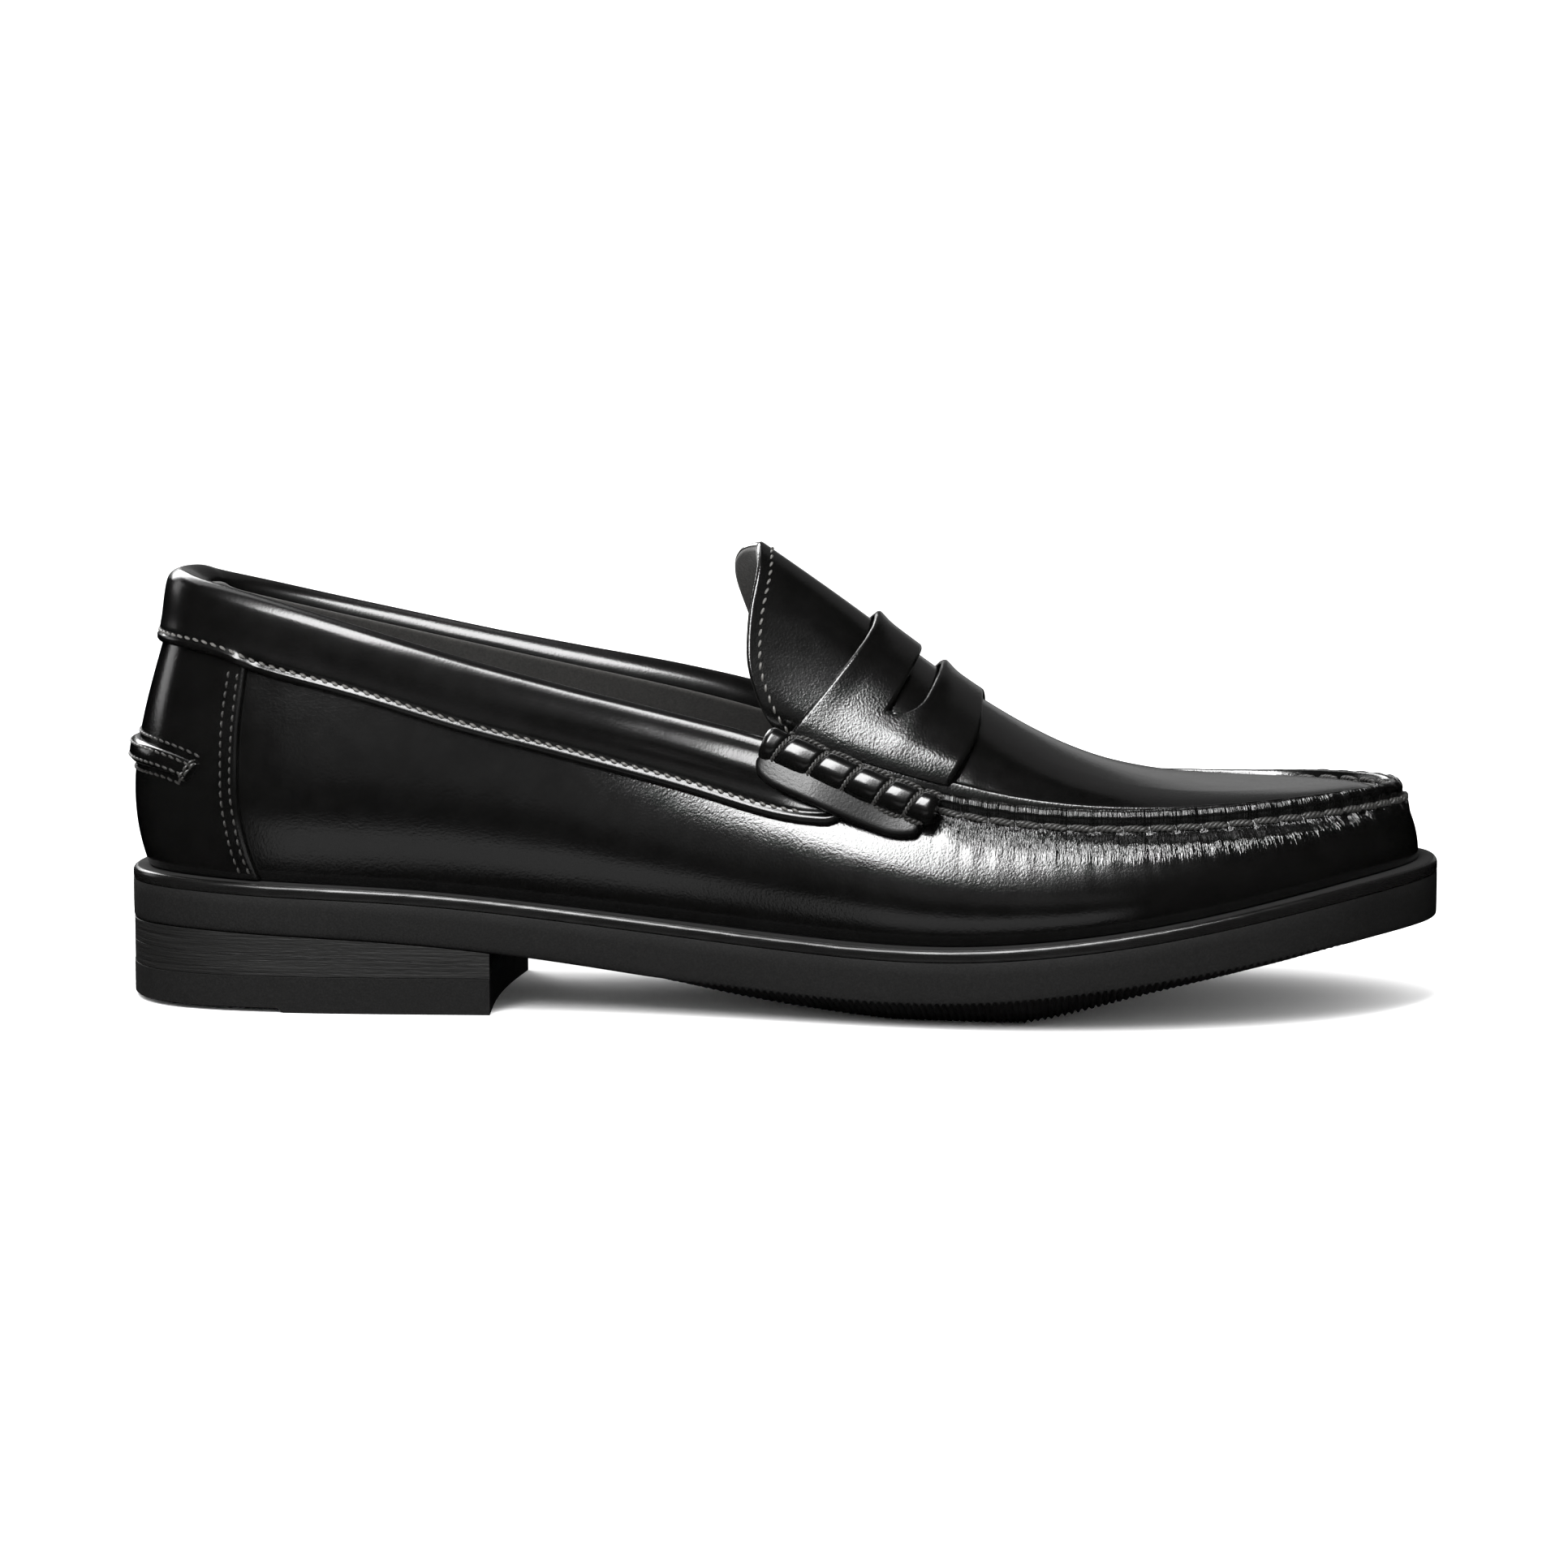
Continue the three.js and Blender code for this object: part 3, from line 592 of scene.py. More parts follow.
def pressed_board(name, colour, scale, rough):
    """Fibre board or cork: a crumb of lighter and darker grains."""
    finish = Finish(name, Specular_IOR_Level=0.25)
    places = finish.places()
    crumb = finish.cells(places, scale)
    dust = finish.noise(places, scale * 1.7, 3.0, 0.6)
    share = finish.maths("MULTIPLY", crumb, 1.3)
    shades = finish.colours(share, shade_of(colour, 0.7), shade_of(colour, 1.2))
    roughness = finish.ranged(dust, 0.3, 0.7, rough - 0.1, rough)
    return finish.shade(shades, roughness, finish.bump(crumb, 0.4, 0.0004))


def plain_steel(name, colour, rough):
    """Rolled steel with fine drawn lines."""
    finish = Finish(name, Metallic=1.0)
    places = finish.places()
    drawn = finish.noise(finish.stretched(places, (90.0, 2200.0, 2200.0)), 1.0, 3.0, 0.6)
    shades = finish.colours(drawn, shade_of(colour, 0.8), shade_of(colour, 1.1))
    roughness = finish.ranged(drawn, 0.3, 0.7, rough, rough + 0.15)
    return finish.shade(shades, roughness, finish.bump(drawn, 0.2, 0.0001))


def finishes(scene):
    """Every finish, made once from the leather, sole and thread settings."""
    upper, sole, thread = scene.loafer_upper, scene.loafer_sole, scene.loafer_threads
    if "calf_vamp" not in bpy.data.materials:
        black, rough, polish, grain = upper.leather_colour, upper.roughness, upper.polish, upper.grain
        calf("calf", black, rough, polish, grain, upper.waves)
        calf("calf_vamp", black, rough, polish, grain, upper.waves, puckers=True)
        calf("calf_roll", black, rough + 0.05, polish * 0.6, grain * 0.4, 0.2)
        calf("calf_collar", black, rough + 0.05, polish * 0.3, grain * 0.6, upper.waves)
        calf("calf_strap", black, rough + 0.04, polish * 0.8, grain * 1.8, 0.6)
        calf("calf_end", black, rough + 0.16, polish * 0.2, grain, 0.6)
        suede("suede", upper.lining_colour)
        suede("suede_sock", shade_of(upper.lining_colour, 0.8)[:3])
        waxed("thread_fine", thread.fine_colour, 0.3)
        waxed("thread_heel", shade_of(thread.fine_colour, 0.3)[:3], 0.3)
        waxed("thread_seam", thread.seam_colour, 0.36)
        burnished("welt_edge", sole.welt_colour, 0.25)
        rubber("black_rubber", sole.rubber_colour)
        stacked("heel_board", sole.stack_colour)
        pressed_board("insole_fibre", (0.19, 0.13, 0.075), 1500.0, 0.9)
        pressed_board("cork_crumb", (0.3, 0.17, 0.07), 700.0, 0.9)
        plain_steel("spring_steel", (0.42, 0.43, 0.44), 0.3)
        plain_steel("wire_steel", (0.36, 0.37, 0.38), 0.4)
    return bpy.data.materials


# ---- Settings -------------------------------------------------------------------------------------

def colour_property(name, description, default):
    return bpy.props.FloatVectorProperty(name=name, description=description, default=default, size=3,
                                         min=0, max=1, subtype="COLOR")


class LOAFER_PG_upper(bpy.types.PropertyGroup):
    """Leather and lining of the upper."""
    leather_colour: colour_property("Leather", "Colour of the dyed calf", (0.0018, 0.00178, 0.00172))
    lining_colour: colour_property("Lining", "Colour of the suede lining", (0.019, 0.0182, 0.017))
    roughness: bpy.props.FloatProperty(
        name="Roughness", description="How far the calf's shine spreads", default=0.19, min=0.1, max=0.8)
    polish: bpy.props.FloatProperty(
        name="Polish", description="Weight of the wax coat over the leather", default=0.5, min=0, max=1)
    grain: bpy.props.FloatProperty(
        name="Grain", description="Depth of the leather's fine grain", default=1.0, min=0, max=3)
    waves: bpy.props.FloatProperty(
        name="Waves", description="Depth of the broad waves in the leather", default=0.5, min=0, max=3)
    pucker: bpy.props.FloatProperty(
        name="Pucker", description="How far the apron seam gathers the vamp between stitches, in millimetres",
        default=0.42, min=0, max=1)
    collar_fill: bpy.props.FloatProperty(
        name="Collar padding", description="Fullness of the padded collar", default=0.8, min=0, max=1,
        subtype="FACTOR")


class LOAFER_PG_threads(bpy.types.PropertyGroup):
    """Seams and their threads."""
    fine_colour: colour_property("Fine thread", "Colour of the machine-sewn thread", (0.07, 0.068, 0.064))
    seam_colour: colour_property(
        "Seam thread", "Colour of the waxed hand-sewn thread", (0.02, 0.0195, 0.0185))
    apron_pitch: bpy.props.FloatProperty(
        name="Apron stitch", description="Length of one hand stitch round the apron, in millimetres",
        default=5.9, min=3, max=10)
    fine_pitch: bpy.props.FloatProperty(
        name="Fine stitch", description="Length of one machine stitch, in millimetres",
        default=2.5, min=1, max=5)


class LOAFER_PG_sole(bpy.types.PropertyGroup):
    """Welt, outsole and heel."""
    welt_colour: colour_property("Welt", "Colour of the inked welt", (0.003, 0.0029, 0.0028))
    rubber_colour: colour_property("Rubber", "Colour of the outsole and top lift", (0.0042, 0.0041, 0.004))
    stack_colour: colour_property("Heel stack", "Colour of the edge-dyed heel lifts", (0.004, 0.0039, 0.0037))
    tread_pitch: bpy.props.FloatProperty(
        name="Tread pitch", description="Distance between the tread's grooves, in millimetres",
        default=1.6, min=1, max=5)
    tread_depth: bpy.props.FloatProperty(
        name="Tread depth", description="Depth of the tread's grooves, in millimetres",
        default=0.75, min=0, max=2)


class LOAFER_PG_studio(bpy.types.PropertyGroup):
    """Floor, lights and camera."""
    azimuth: bpy.props.FloatProperty(
        name="Azimuth", description="Camera's turn from the outer side towards the toe",
        default=math.radians(3), subtype="ANGLE")
    elevation: bpy.props.FloatProperty(
        name="Elevation", description="Camera's height above the horizon",
        default=math.radians(7), subtype="ANGLE")
    distance: bpy.props.FloatProperty(
        name="Distance", description="From the camera to the middle of the shoe", default=1.0,
        min=0.4, max=5, subtype="DISTANCE")
    aim: bpy.props.FloatVectorProperty(
        name="Aim", description="Point the camera looks at", default=(0.0007, 0.0018, 0.0486),
        size=3, subtype="TRANSLATION")
    lens: bpy.props.FloatProperty(
        name="Lens", description="Focal length in millimetres", default=100, min=20, max=300)
    key_light: bpy.props.FloatProperty(
        name="Key light", description="Radiance of the long softbox in front of and above the shoe",
        default=22, min=0, max=100)
    surround: bpy.props.FloatProperty(
        name="Surround", description="Radiance of the white surround on matt surfaces", default=1.5,
        min=0, max=5)
    floor_colour: colour_property("Floor", "Colour of the floor and backdrop", (0.9, 0.9, 0.9))


SETTINGS = {
    "loafer_upper": LOAFER_PG_upper,
    "loafer_threads": LOAFER_PG_threads,
    "loafer_sole": LOAFER_PG_sole,
    "loafer_studio": LOAFER_PG_studio,
}


# ---- Layout of the upper --------------------------------------------------------------------------

LEATHER = 1.6
STRAP_THICKNESS = 1.5
COLLAR_THICKNESS = 1.45
WALL_CLEARANCE = 0.12
FOXING_RISE = 1.3
SEAM_START = 7.3
RIDGE_START = (6.8, 7.2)
# The apron seam in section, outwards and down from the top ring: the shoulder's end, the groove that the
# stitches lie in, the face of the ridge and its rolled edge.
RIDGE = [
    (4.05, 4.8), (3.7, 4.5), (3.38, 4.28), (3.08, 3.95), (2.88, 3.45), (2.82, 2.9), (2.92, 2.2), (2.95, 1.75),
    (2.78, 1.25), (2.42, 0.7), (2.02, 0.25), (1.74, 0.12), (1.58, 0.4),
]
RIDGE_ENTRY = (-0.69, -0.72)
SHOULDER_DEPTH = 7.6
INNER_FACE = 1.54
APRON_REACH = 1.46
# The apron's own edge in section: distance in from that edge, and height above the top ring.
APRON_LIP = ([0, 0.3, 0.65, 1.05, 1.35, 1.6, 1.9, 2.6, 4, 7, 11, 16],
             [-0.35, 0.0, 0.05, -0.25, -0.9, -1.7, -2.1, -2.1, -1.75, -0.85, -0.25, 0])
STITCH_OUT = (3.5, 4.05)
STITCH_IN = (0.27, 1.72)

COLLAR_EDGE = ([0, 0.3, 1.95, 2.55, 2.76, 3.14, 3.67, 4.25, 4.78, 5.3, 5.82, 6.3, 6.42, 6.53, 6.61, 6.66],
               [16.6, 16.7, 16.1, 16.3, 16.9, 17, 16.5, 16.7, 16.2, 15.8, 15.6, 15.3, 14.7, 13.9, 12.9, 11.6])
COLLAR_REACH = 6.66
FOXING_EDGE = ([0, 0.1, 0.18, 0.28, 0.38, 0.52, 0.74, 0.8],
               [2.835, 2.758, 2.712, 2.673, 2.668, 2.668, 2.712, 2.72])
FOXING_ROWS = [
    ([0.02, 0.11, 0.19, 0.27, 0.38, 0.52, 0.74], [2.762, 2.682, 2.647, 2.612, 2.597, 2.603, 2.64]),
    ([0.02, 0.11, 0.18, 0.27, 0.37, 0.51, 0.74], [2.665, 2.588, 2.553, 2.512, 2.5, 2.492, 2.545]),
]
TAB_TOP = ([0, 0.92, 1.73, 2.08, 2.26], [59.4, 59.2, 58.2, 56.8, 55.6])
TAB_FOOT = ([0, 1.05, 1.54, 1.85, 2.09], [54.2, 54.1, 53.8, 53, 51.8])

TONGUE_RIM = ([0, 0.068, 0.193, 0.352, 0.441, 0.531, 0.595, 0.676, 0.732, 0.84, 0.95],
              [5.53, 5.536, 5.565, 5.611, 5.645, 5.697, 5.743, 5.82, 5.892, 6.046, 6.23])
TONGUE_SIDE = 0.95
TONGUE_FRONT = 6.5
TONGUE_BEND = ((0.021, 0, 0.0885), (0.0089, 0, 0.0956))

STRAP_REAR = ([0, 0.3, 0.53, 0.78, 1], [6.3, 6.312, 6.292, 6.268, 6.25])
STRAP_FRONT = ([0, 0.2, 0.37, 0.6, 0.8, 1], [7.285, 7.315, 7.365, 7.384, 7.372, 7.355])
STRAP_SIDE = 0.93
SLOT_REAR = 6.7
SLOT_WIDTH = 0.187
SLOT_END = 0.588
SLOT_CORNER = 0.4

FLANGE_FOOT = ([0, 0.04, 0.1, 0.18, 0.36, 0.56, 0.72, 0.83, 0.9, 0.95, 0.985, 1],
               [(6.122, 0.86), (6.126, 0.83), (6.144, 0.797), (6.2, 0.768), (6.364, 0.736), (6.612, 0.702),
                (6.82, 0.676), (6.974, 0.661), (7.063, 0.664), (7.15, 0.68), (7.198, 0.717), (7.214, 0.76)])
ROLL = {"rear": 6.16, "front": 7.31, "v": (0.955, 0.825), "lift": (4.3, 3.5), "radius": (4.15, 3.45)}
WRAPS = (0.102, 0.295, 0.488, 0.676, 0.859)
WRAP_LEAN = 0.034
ROLL_SEAMS = (68, -98)
BRAID_ENDS = ((0.1, 1.0), (0.0, 0.93))

# The welt's outline: distance in from the sole's edge, and height from its top.
WELT = [(11, 0), (6, 0), (2.4, 0), (1.3, 0.0), (0.86, -0.09), (0.5, -0.27), (0.3, -0.44), (0.15, -0.65),
        (0.05, -0.92), (0, -1.3), (0, -2.0), (0.0, -2.5), (0.08, -2.72), (0.35, -2.8), (6, -2.8), (11, -2.8)]
HEEL_BACK = 0.004
TOP_LIFT = 8.3
JOINT = 0.01


def seam_line(q, e, depth):
    """Points beside the apron seam: e outwards from the top ring and depth below it."""
    return sole_edge(q, top_in(q) - e, top_z(q) - depth)


def stitch_run(q):
    """Length along the apron's stitches from where the seam leaves the beef roll."""
    knots = np.linspace(SEAM_START, ROUND - SEAM_START, 1500)
    return np.interp(q, knots, run_lengths(seam_line(knots, *STITCH_OUT)))


def ring_places():
    """Ring positions of the vamp's columns: close together along the apron seam, wider apart behind it."""
    knots = np.linspace(0, ROUND, 5201)
    run = run_lengths(wall_skin(knots, 0.8))
    from_heel = np.minimum(knots, ROUND - knots)
    spacing = mix(2.6, 0.72, smooth(from_heel, 6.6, 7.2))
    count = np.concatenate([[0], np.cumsum(np.diff(run) / spacing[1:])])
    return np.interp(np.arange(int(count[-1])), count, knots)


def shoulder_rows(q):
    """The wall's rows up to the shoulder, the same all round the shoe."""
    last = np.maximum(1 - SHOULDER_DEPTH / (top_z(q) - welt_top(q) - GAP), 0.56)
    return np.linspace(0, 1, 26)[None] * last


def vamp_quarter(q):
    """The wall at the back: it runs up into the collar and stops there."""
    from_heel = np.minimum(q, ROUND - q)
    top = wall_height(q, mix(9.5, 1.6, smooth(from_heel, 6.2, 6.6)))
    v = shoulder_rows(q)
    v = v * np.minimum(1, 0.97 * top / v[:, -1:])
    v = np.concatenate([v, mix(v[:, -1:], top, np.linspace(0, 1, 26)[None, 1:])], 1)
    return wall(q, v, 0.0), wall(q, v, -LEATHER)


def wall(q, v, lift):
    """Points of the side wall, lifted off it."""
    return lifted(wall_skin, q, v, lift)


def roof(w, t, lift):
    """Points of the instep, lifted off it."""
    return lifted(roof_skin, w, t, lift)


def shoulder_bend(q, last, height):
    """Carries the wall on from its last row, over the shoulder, to the foot of the ridge."""
    step = 0.01
    e_slope = (wall_inset(q, last) - wall_inset(q, last + step)) / step
    size = np.hypot(e_slope, height)
    e_first, d_first = top_in(q) - wall_inset(q, last), (1 - last) * height
    e_last, d_last = RIDGE[0]
    reach = np.hypot(e_first - e_last, d_first - d_last)
    x = np.linspace(0, 1, 14)[None, 1:]
    h1, h2, h3, h4 = 2 * x**3 - 3 * x**2 + 1, x**3 - 2 * x**2 + x, 3 * x**2 - 2 * x**3, x**3 - x**2
    e = h1 * e_first + h2 * reach * e_slope / size + h3 * e_last + h4 * reach * RIDGE_ENTRY[0]
    depth = h1 * d_first - h2 * reach * height / size + h3 * d_last + h4 * reach * RIDGE_ENTRY[1]
    return e, depth


def gathers(q, depth, pucker, pitch):
    """How far each stitch pulls in the wall below it, and how full the ridge stays between the holes."""
    run = stitch_run(q)
    total = stitch_run(np.array([ROUND - SEAM_START]))[0]
    hole = (0.5 + 0.5 * np.cos(run * 2 * math.pi * round(total / pitch) / total))**2
    on = smooth(np.minimum(q, ROUND - q), 7.25, 7.45)
    wander = 0.75 + 0.35 * np.sin(0.137 * run + 1.1) * np.sin(0.071 * run)
    below = np.clip(depth - 5.0, 0, None)
    fan = np.exp(-below / 2.6) * smooth(depth, 4.3, 5.2)
    fine = 0.3 * np.sin(2.05 * run + 0.9 * np.sin(0.5 * run)) * np.exp(-below / 4.0) * smooth(depth, 4.4, 5.6)
    pull = pucker * wander * on * (hole * fan * 1.5 + fine * 0.55 - 0.35 * fan)
    swell = 0.16 * on * (1 - hole) - 0.12 * on * hole + 0.07 * on * np.sin(0.31 * run) * np.sin(0.83 * run)
    return pull, swell


def vamp_front(q, pucker, pitch):
    """The wall in front: over its shoulder to the stitches, and up the face of the ridge.
    Gives the points of its two sides, and how far each is below the stitches."""
    height = top_z(q) - welt_top(q) - GAP
    v = shoulder_rows(q)
    e_bend, d_bend = shoulder_bend(q, v[:, -1:], height)
    e_ridge, d_ridge = (np.broadcast_to(values, (len(q), len(values))) for values in np.array(RIDGE[1:]).T)
    e = np.concatenate([top_in(q) - wall_inset(q, v), e_bend, e_ridge], 1)
    depth = np.concatenate([(1 - v) * height, d_bend, d_ridge], 1)
    pull, swell = gathers(q, depth, pucker, pitch)
    e = e - pull * 0.9
    depth = depth + pull * 0.75
    depth = depth - swell * np.exp(-((depth - 0.5) / 1.3)**2)
    e = e + swell * np.exp(-((depth - 1.6) / 1.6)**2)
    over = seam_line(q, e, depth)
    # The inner side is one thickness in, and straight down from the ridge.
    along_e, along_d = np.gradient(e, axis=1), np.gradient(depth, axis=1)
    size = np.hypot(along_e, along_d)
    inner_e = np.maximum(e + LEATHER * along_d / size, INNER_FACE)
    inner_d = depth - LEATHER * along_e / size
    ridge_from = v.shape[1] + e_bend.shape[1] - 1
    inner_e[:, ridge_from:] = INNER_FACE
    inner_d[:, ridge_from:] = np.maximum(depth[:, ridge_from:], 0.4)
    before = ridge_from - 1
    inner_d[:, before] = np.maximum(inner_d[:, before], depth[:, before] + 0.6)
    return over, seam_line(q, inner_e, inner_d), depth - 4.8


def vamp_shape(pucker, pitch):
    """The vamp runs right round the shoe, so it is a ring."""
    q = ring_places()[:, None]
    from_heel = np.minimum(q, ROUND - q)
    front = smooth(from_heel, *RIDGE_START)[..., None]
    over_back, under_back = vamp_quarter(q)
    over_front, under_front, below = vamp_front(q, pucker, pitch)
    over = mix(over_back, over_front, front)
    under = mix(under_back, under_front, front)
    run = np.broadcast_to(stitch_run(q), below.shape)
    below = np.clip(below, 0, 60) + 20 * (1 - smooth(from_heel, 6.9, 7.5))
    return slab(Shape(), over, under, ring=True, pattern=np.stack([run, below], -1))


def apron_shape():
    """The apron lies inside the ridge, and its own edge is turned up against the vamp's."""
    w = np.concatenate([np.linspace(6.5, 11, 76), np.linspace(11, 12.997, 74)[1:]])[:, None]
    t = np.linspace(-1, 1, 163)[None]
    over = roof_skin(w, t)
    ring = np.linspace(6.3, ROUND - 6.3, 1300)
    edge = seam_line(ring, 0, 0)
    inside, nearest = nearest_to(over[..., :2], edge[..., :2])
    turned = smooth(inside, 0, 6)
    over += (APRON_REACH * (1 - turned))[..., None] * (seam_line(ring, 1, 0) - edge)[nearest]
    inside = inside + APRON_REACH * turned
    profile = open_spline(*APRON_LIP)
    over[..., 2] += profile(inside) * mix(0.6, 1, smooth(w, 7.3, 8.8))
    crease = 0.12 * np.sin(1.1 * over[..., 0]) * np.exp(-((inside - 2.6) / 1.8)**2)
    over[..., 2] -= np.clip(crease, 0, None)
    under = over - np.array([0, 0, 1.4])
    return slab(Shape(), over, under)


def apron_seam(side):
    """Path and normals of the hand stitches outside or inside the ridge."""
    q = np.linspace(SEAM_START, ROUND - SEAM_START, 1600)
    e, depth = STITCH_OUT if side == "outside" else (-STITCH_IN[0], STITCH_IN[1])
    sink = mix(0.55, 1, smooth(np.minimum(q, ROUND - q), 7.3, 8.8)) if side == "inside" else 1
    path = seam_line(q, e, depth * sink)
    out = seam_line(q, e + 1, depth) - seam_line(q, e, depth)
    outward, upward = (0.85, 0.55) if side == "outside" else (-0.6, 0.8)
    return path, unit(outward * out + np.array([0, 0, upward]))


def tongue_rim(t):
    """The tongue's rear edge, which is cut a little longer on the medial side."""
    return open_spline(*TONGUE_RIM)(np.abs(t)) - 0.13 * np.sin(math.pi * np.clip((t - 0.05) / 0.66, 0, 1))**2


def tongue_grid(trim):
    """Places all over the tongue, closer together at its sides. The lining is trimmed a little smaller."""
    even = np.linspace(-1, 1, 85)[None]
    t = (np.sin(even * math.pi / 2) * 0.5 + even * 0.5) * (TONGUE_SIDE - trim)
    rim = tongue_rim(t) + 0.6 * trim
    share = spread(34, 0.05)[:, None]
    w = rim + share * (TONGUE_FRONT - rim)
    return w, np.broadcast_to(t, w.shape)


def tongue_tuck(t):
    """How far the tongue's sides dip between the collar ends."""
    return 7.5 * np.abs(t)**9


def tongue_shapes():
    """The tongue's leather, its suede lining and the row of stitches round its edge."""
    w, t = tongue_grid(0.0)
    tuck = tongue_tuck(t)
    drop = rounding(edge_distance(roof(w, t, -tuck)), 0.7)
    leather = slab(Shape(), roof(w, t, -tuck - drop), roof(w, t, -1.25 - tuck))
    w, t = tongue_grid(0.012)
    tuck = tongue_tuck(t)
    drop = rounding(edge_distance(roof(w, t, -2.3 - tuck)), 0.5)
    lining = slab(Shape(), roof(w, t, -1.28 - tuck), roof(w, t, -2.5 - tuck + drop))
    t = np.linspace(-0.89, 0.89, 500)
    rim = tongue_rim(t) + 0.075 + 0.05 * np.abs(t)**4
    path, normal = placed(roof_skin, rim, t)
    path = path - tongue_tuck(t)[:, None] * normal
    seam = stitches(Shape(), path, normal, 2.6, 1.75, 0.3, rise=0.16, sink=0.3, skew=0.5)
    return leather, lining, seam


def slot_edge(t):
    """Front edge of the strap's slot: level in the middle, curving back to the rear edge at its ends."""
    x = np.clip((np.abs(t) - SLOT_CORNER) / (SLOT_END - SLOT_CORNER), 0, 1)
    return SLOT_REAR + SLOT_WIDTH * np.sqrt(1 - x * x)


def strap_lift(w, t):
    """The strap stands a little off the tongue, most at its free edges on the crown."""
    crown = np.cos(t * math.pi / 2)**2
    free = np.exp(-((w - 6.3) / 0.09)**2) + 0.9 * np.exp(-((w - 6.9) / 0.09)**2)
    side = np.exp(-((np.abs(t) - 0.79) / 0.15)**2)
    return 0.45 + 0.75 * crown * free + 1.15 * side + 0.1 * np.sin(9 * t + 3 * w) * crown


def strap_rims():
    """Lines along the upper edges of the strap and of its slot."""
    side = np.linspace(-STRAP_SIDE, STRAP_SIDE, 700)
    slot_side = np.linspace(-SLOT_END, SLOT_END, 500)
    rims = [(open_spline(*STRAP_REAR)(np.abs(side)), side), (open_spline(*STRAP_FRONT)(np.abs(side)), side),
            (np.full(500, SLOT_REAR), slot_side), (slot_edge(slot_side), slot_side)]
    return np.concatenate([roof(w, t, strap_lift(w, t) + STRAP_THICKNESS) for w, t in rims])


def quads(index):
    """Faces between neighbouring rows and columns of point numbers."""
    return np.stack([index[:-1, :-1], index[1:, :-1], index[1:, 1:], index[:-1, 1:]], -1).reshape(-1, 4)


def border(top, foot):
    """Faces down an edge, between its upper and lower rows of point numbers."""
    return np.stack([top[:-1], top[1:], foot[1:], foot[:-1]], -1)


def strap_shape():
    """The saddle strap, with its slot. Two bands meet behind the slot's ends."""
    half = np.concatenate([np.linspace(0, SLOT_CORNER, 22)[:-1],
                           mix(SLOT_CORNER, SLOT_END, np.sin(np.linspace(0, 1, 15) * math.pi / 2)),
                           np.linspace(SLOT_END, STRAP_SIDE, 22)[1:]])
    t = np.concatenate([-half[:0:-1], half])[None]
    rear = open_spline(*STRAP_REAR)(np.abs(t))
    front = open_spline(*STRAP_FRONT)(np.abs(t))
    rows = spread(16, 0.09)[:, None]
    slot_front = slot_edge(t)
    open_columns = np.abs(t[0]) < SLOT_END - 1e-6
    in_slot = open_columns[:-1] | open_columns[1:]
    rims = strap_rims()
    points, faces, count = [], [], 0
    for w, free_row, slot_row in ((rear + rows * (SLOT_REAR - rear), 0, -1),
                                  (slot_front + rows * (front - slot_front), -1, 0)):
        side = np.broadcast_to(t, w.shape)
        low = strap_lift(w, side)
        high = low + STRAP_THICKNESS
        drop = rounding(distance_to(roof(w, side, high), rims), 0.75)
        points += [roof(w, side, high - drop), roof(w, side, low)]
        upper, lower = count + np.arange(2 * w.size).reshape(2, *w.shape)
        count += 2 * w.size
        faces += [quads(upper), quads(lower)[:, ::-1], border(upper[free_row], lower[free_row]),
                  border(upper[slot_row], lower[slot_row])[in_slot]]
        faces += [border(upper[:, column], lower[:, column]) for column in (0, -1)]
    return Shape().add(np.concatenate([grid.reshape(-1, 3) for grid in points]), np.concatenate(faces))


def flange_shape(side):
    """The turned-out end of the strap, lying on the vamp under the beef roll."""
    s = spread(70, 0.06)
    foot_q, foot_v = (open_spline(FLANGE_FOOT[0], values)(s) for values in np.array(FLANGE_FOOT[1]).T)
    top_q = mix(mix(foot_q[0], foot_q[-1], smooth(s, -0.2, 1.2)), foot_q, 0.5)
    top_v = mix(0.9, 0.82, s)
    share = spread(14, 0.12)[None]
    q = mix(foot_q[:, None], top_q[:, None], share)
    v = mix(foot_v[:, None], top_v[:, None], share)
    low = mix(2.75, 0.5, smooth(q, 6.45, 7.1))
    wave = 0.2 * np.sin(7 * q + 1) * (1 - share) + 1.1 * share
    return panel(Shape(), wall_skin, on_side(side, q), v, low + wave, low + wave + 1.9, 1.0)


def roll_axis(side, f):
    """Middle line of a beef roll with its outward and upward directions. f is 0 at its rear, 1 in front."""
    q = mix(ROLL["rear"], ROLL["front"], f)
    point, normal = placed(wall_skin, on_side(side, q), mix(*ROLL["v"], f))
    point = point + normal * mix(*ROLL["lift"], f)[..., None]
    along = unit(np.gradient(point, axis=0))
    up = unit(np.cross(normal, along))
    up *= np.sign(up[..., 2:])
    out = np.cross(along, up)
    return point, out * np.sign(np.einsum("ij,ij->i", out, normal))[:, None], up


def roll_radius(f, angle):
    """The roll bulges between its wraps and narrows towards the front."""
    lean = WRAP_LEAN * angle / 90
    pinch = sum(np.exp(-((f - place - lean) / 0.014)**2) for place in WRAPS)
    bulge = 0.14 * np.sin((f - WRAPS[0]) / 0.19 * math.pi)**2
    groove = sum(np.exp(-((angle - seam) / 9)**2) for seam in ROLL_SEAMS)
    return mix(*ROLL["radius"], f) - 0.62 * pinch + bulge - 0.35 * groove


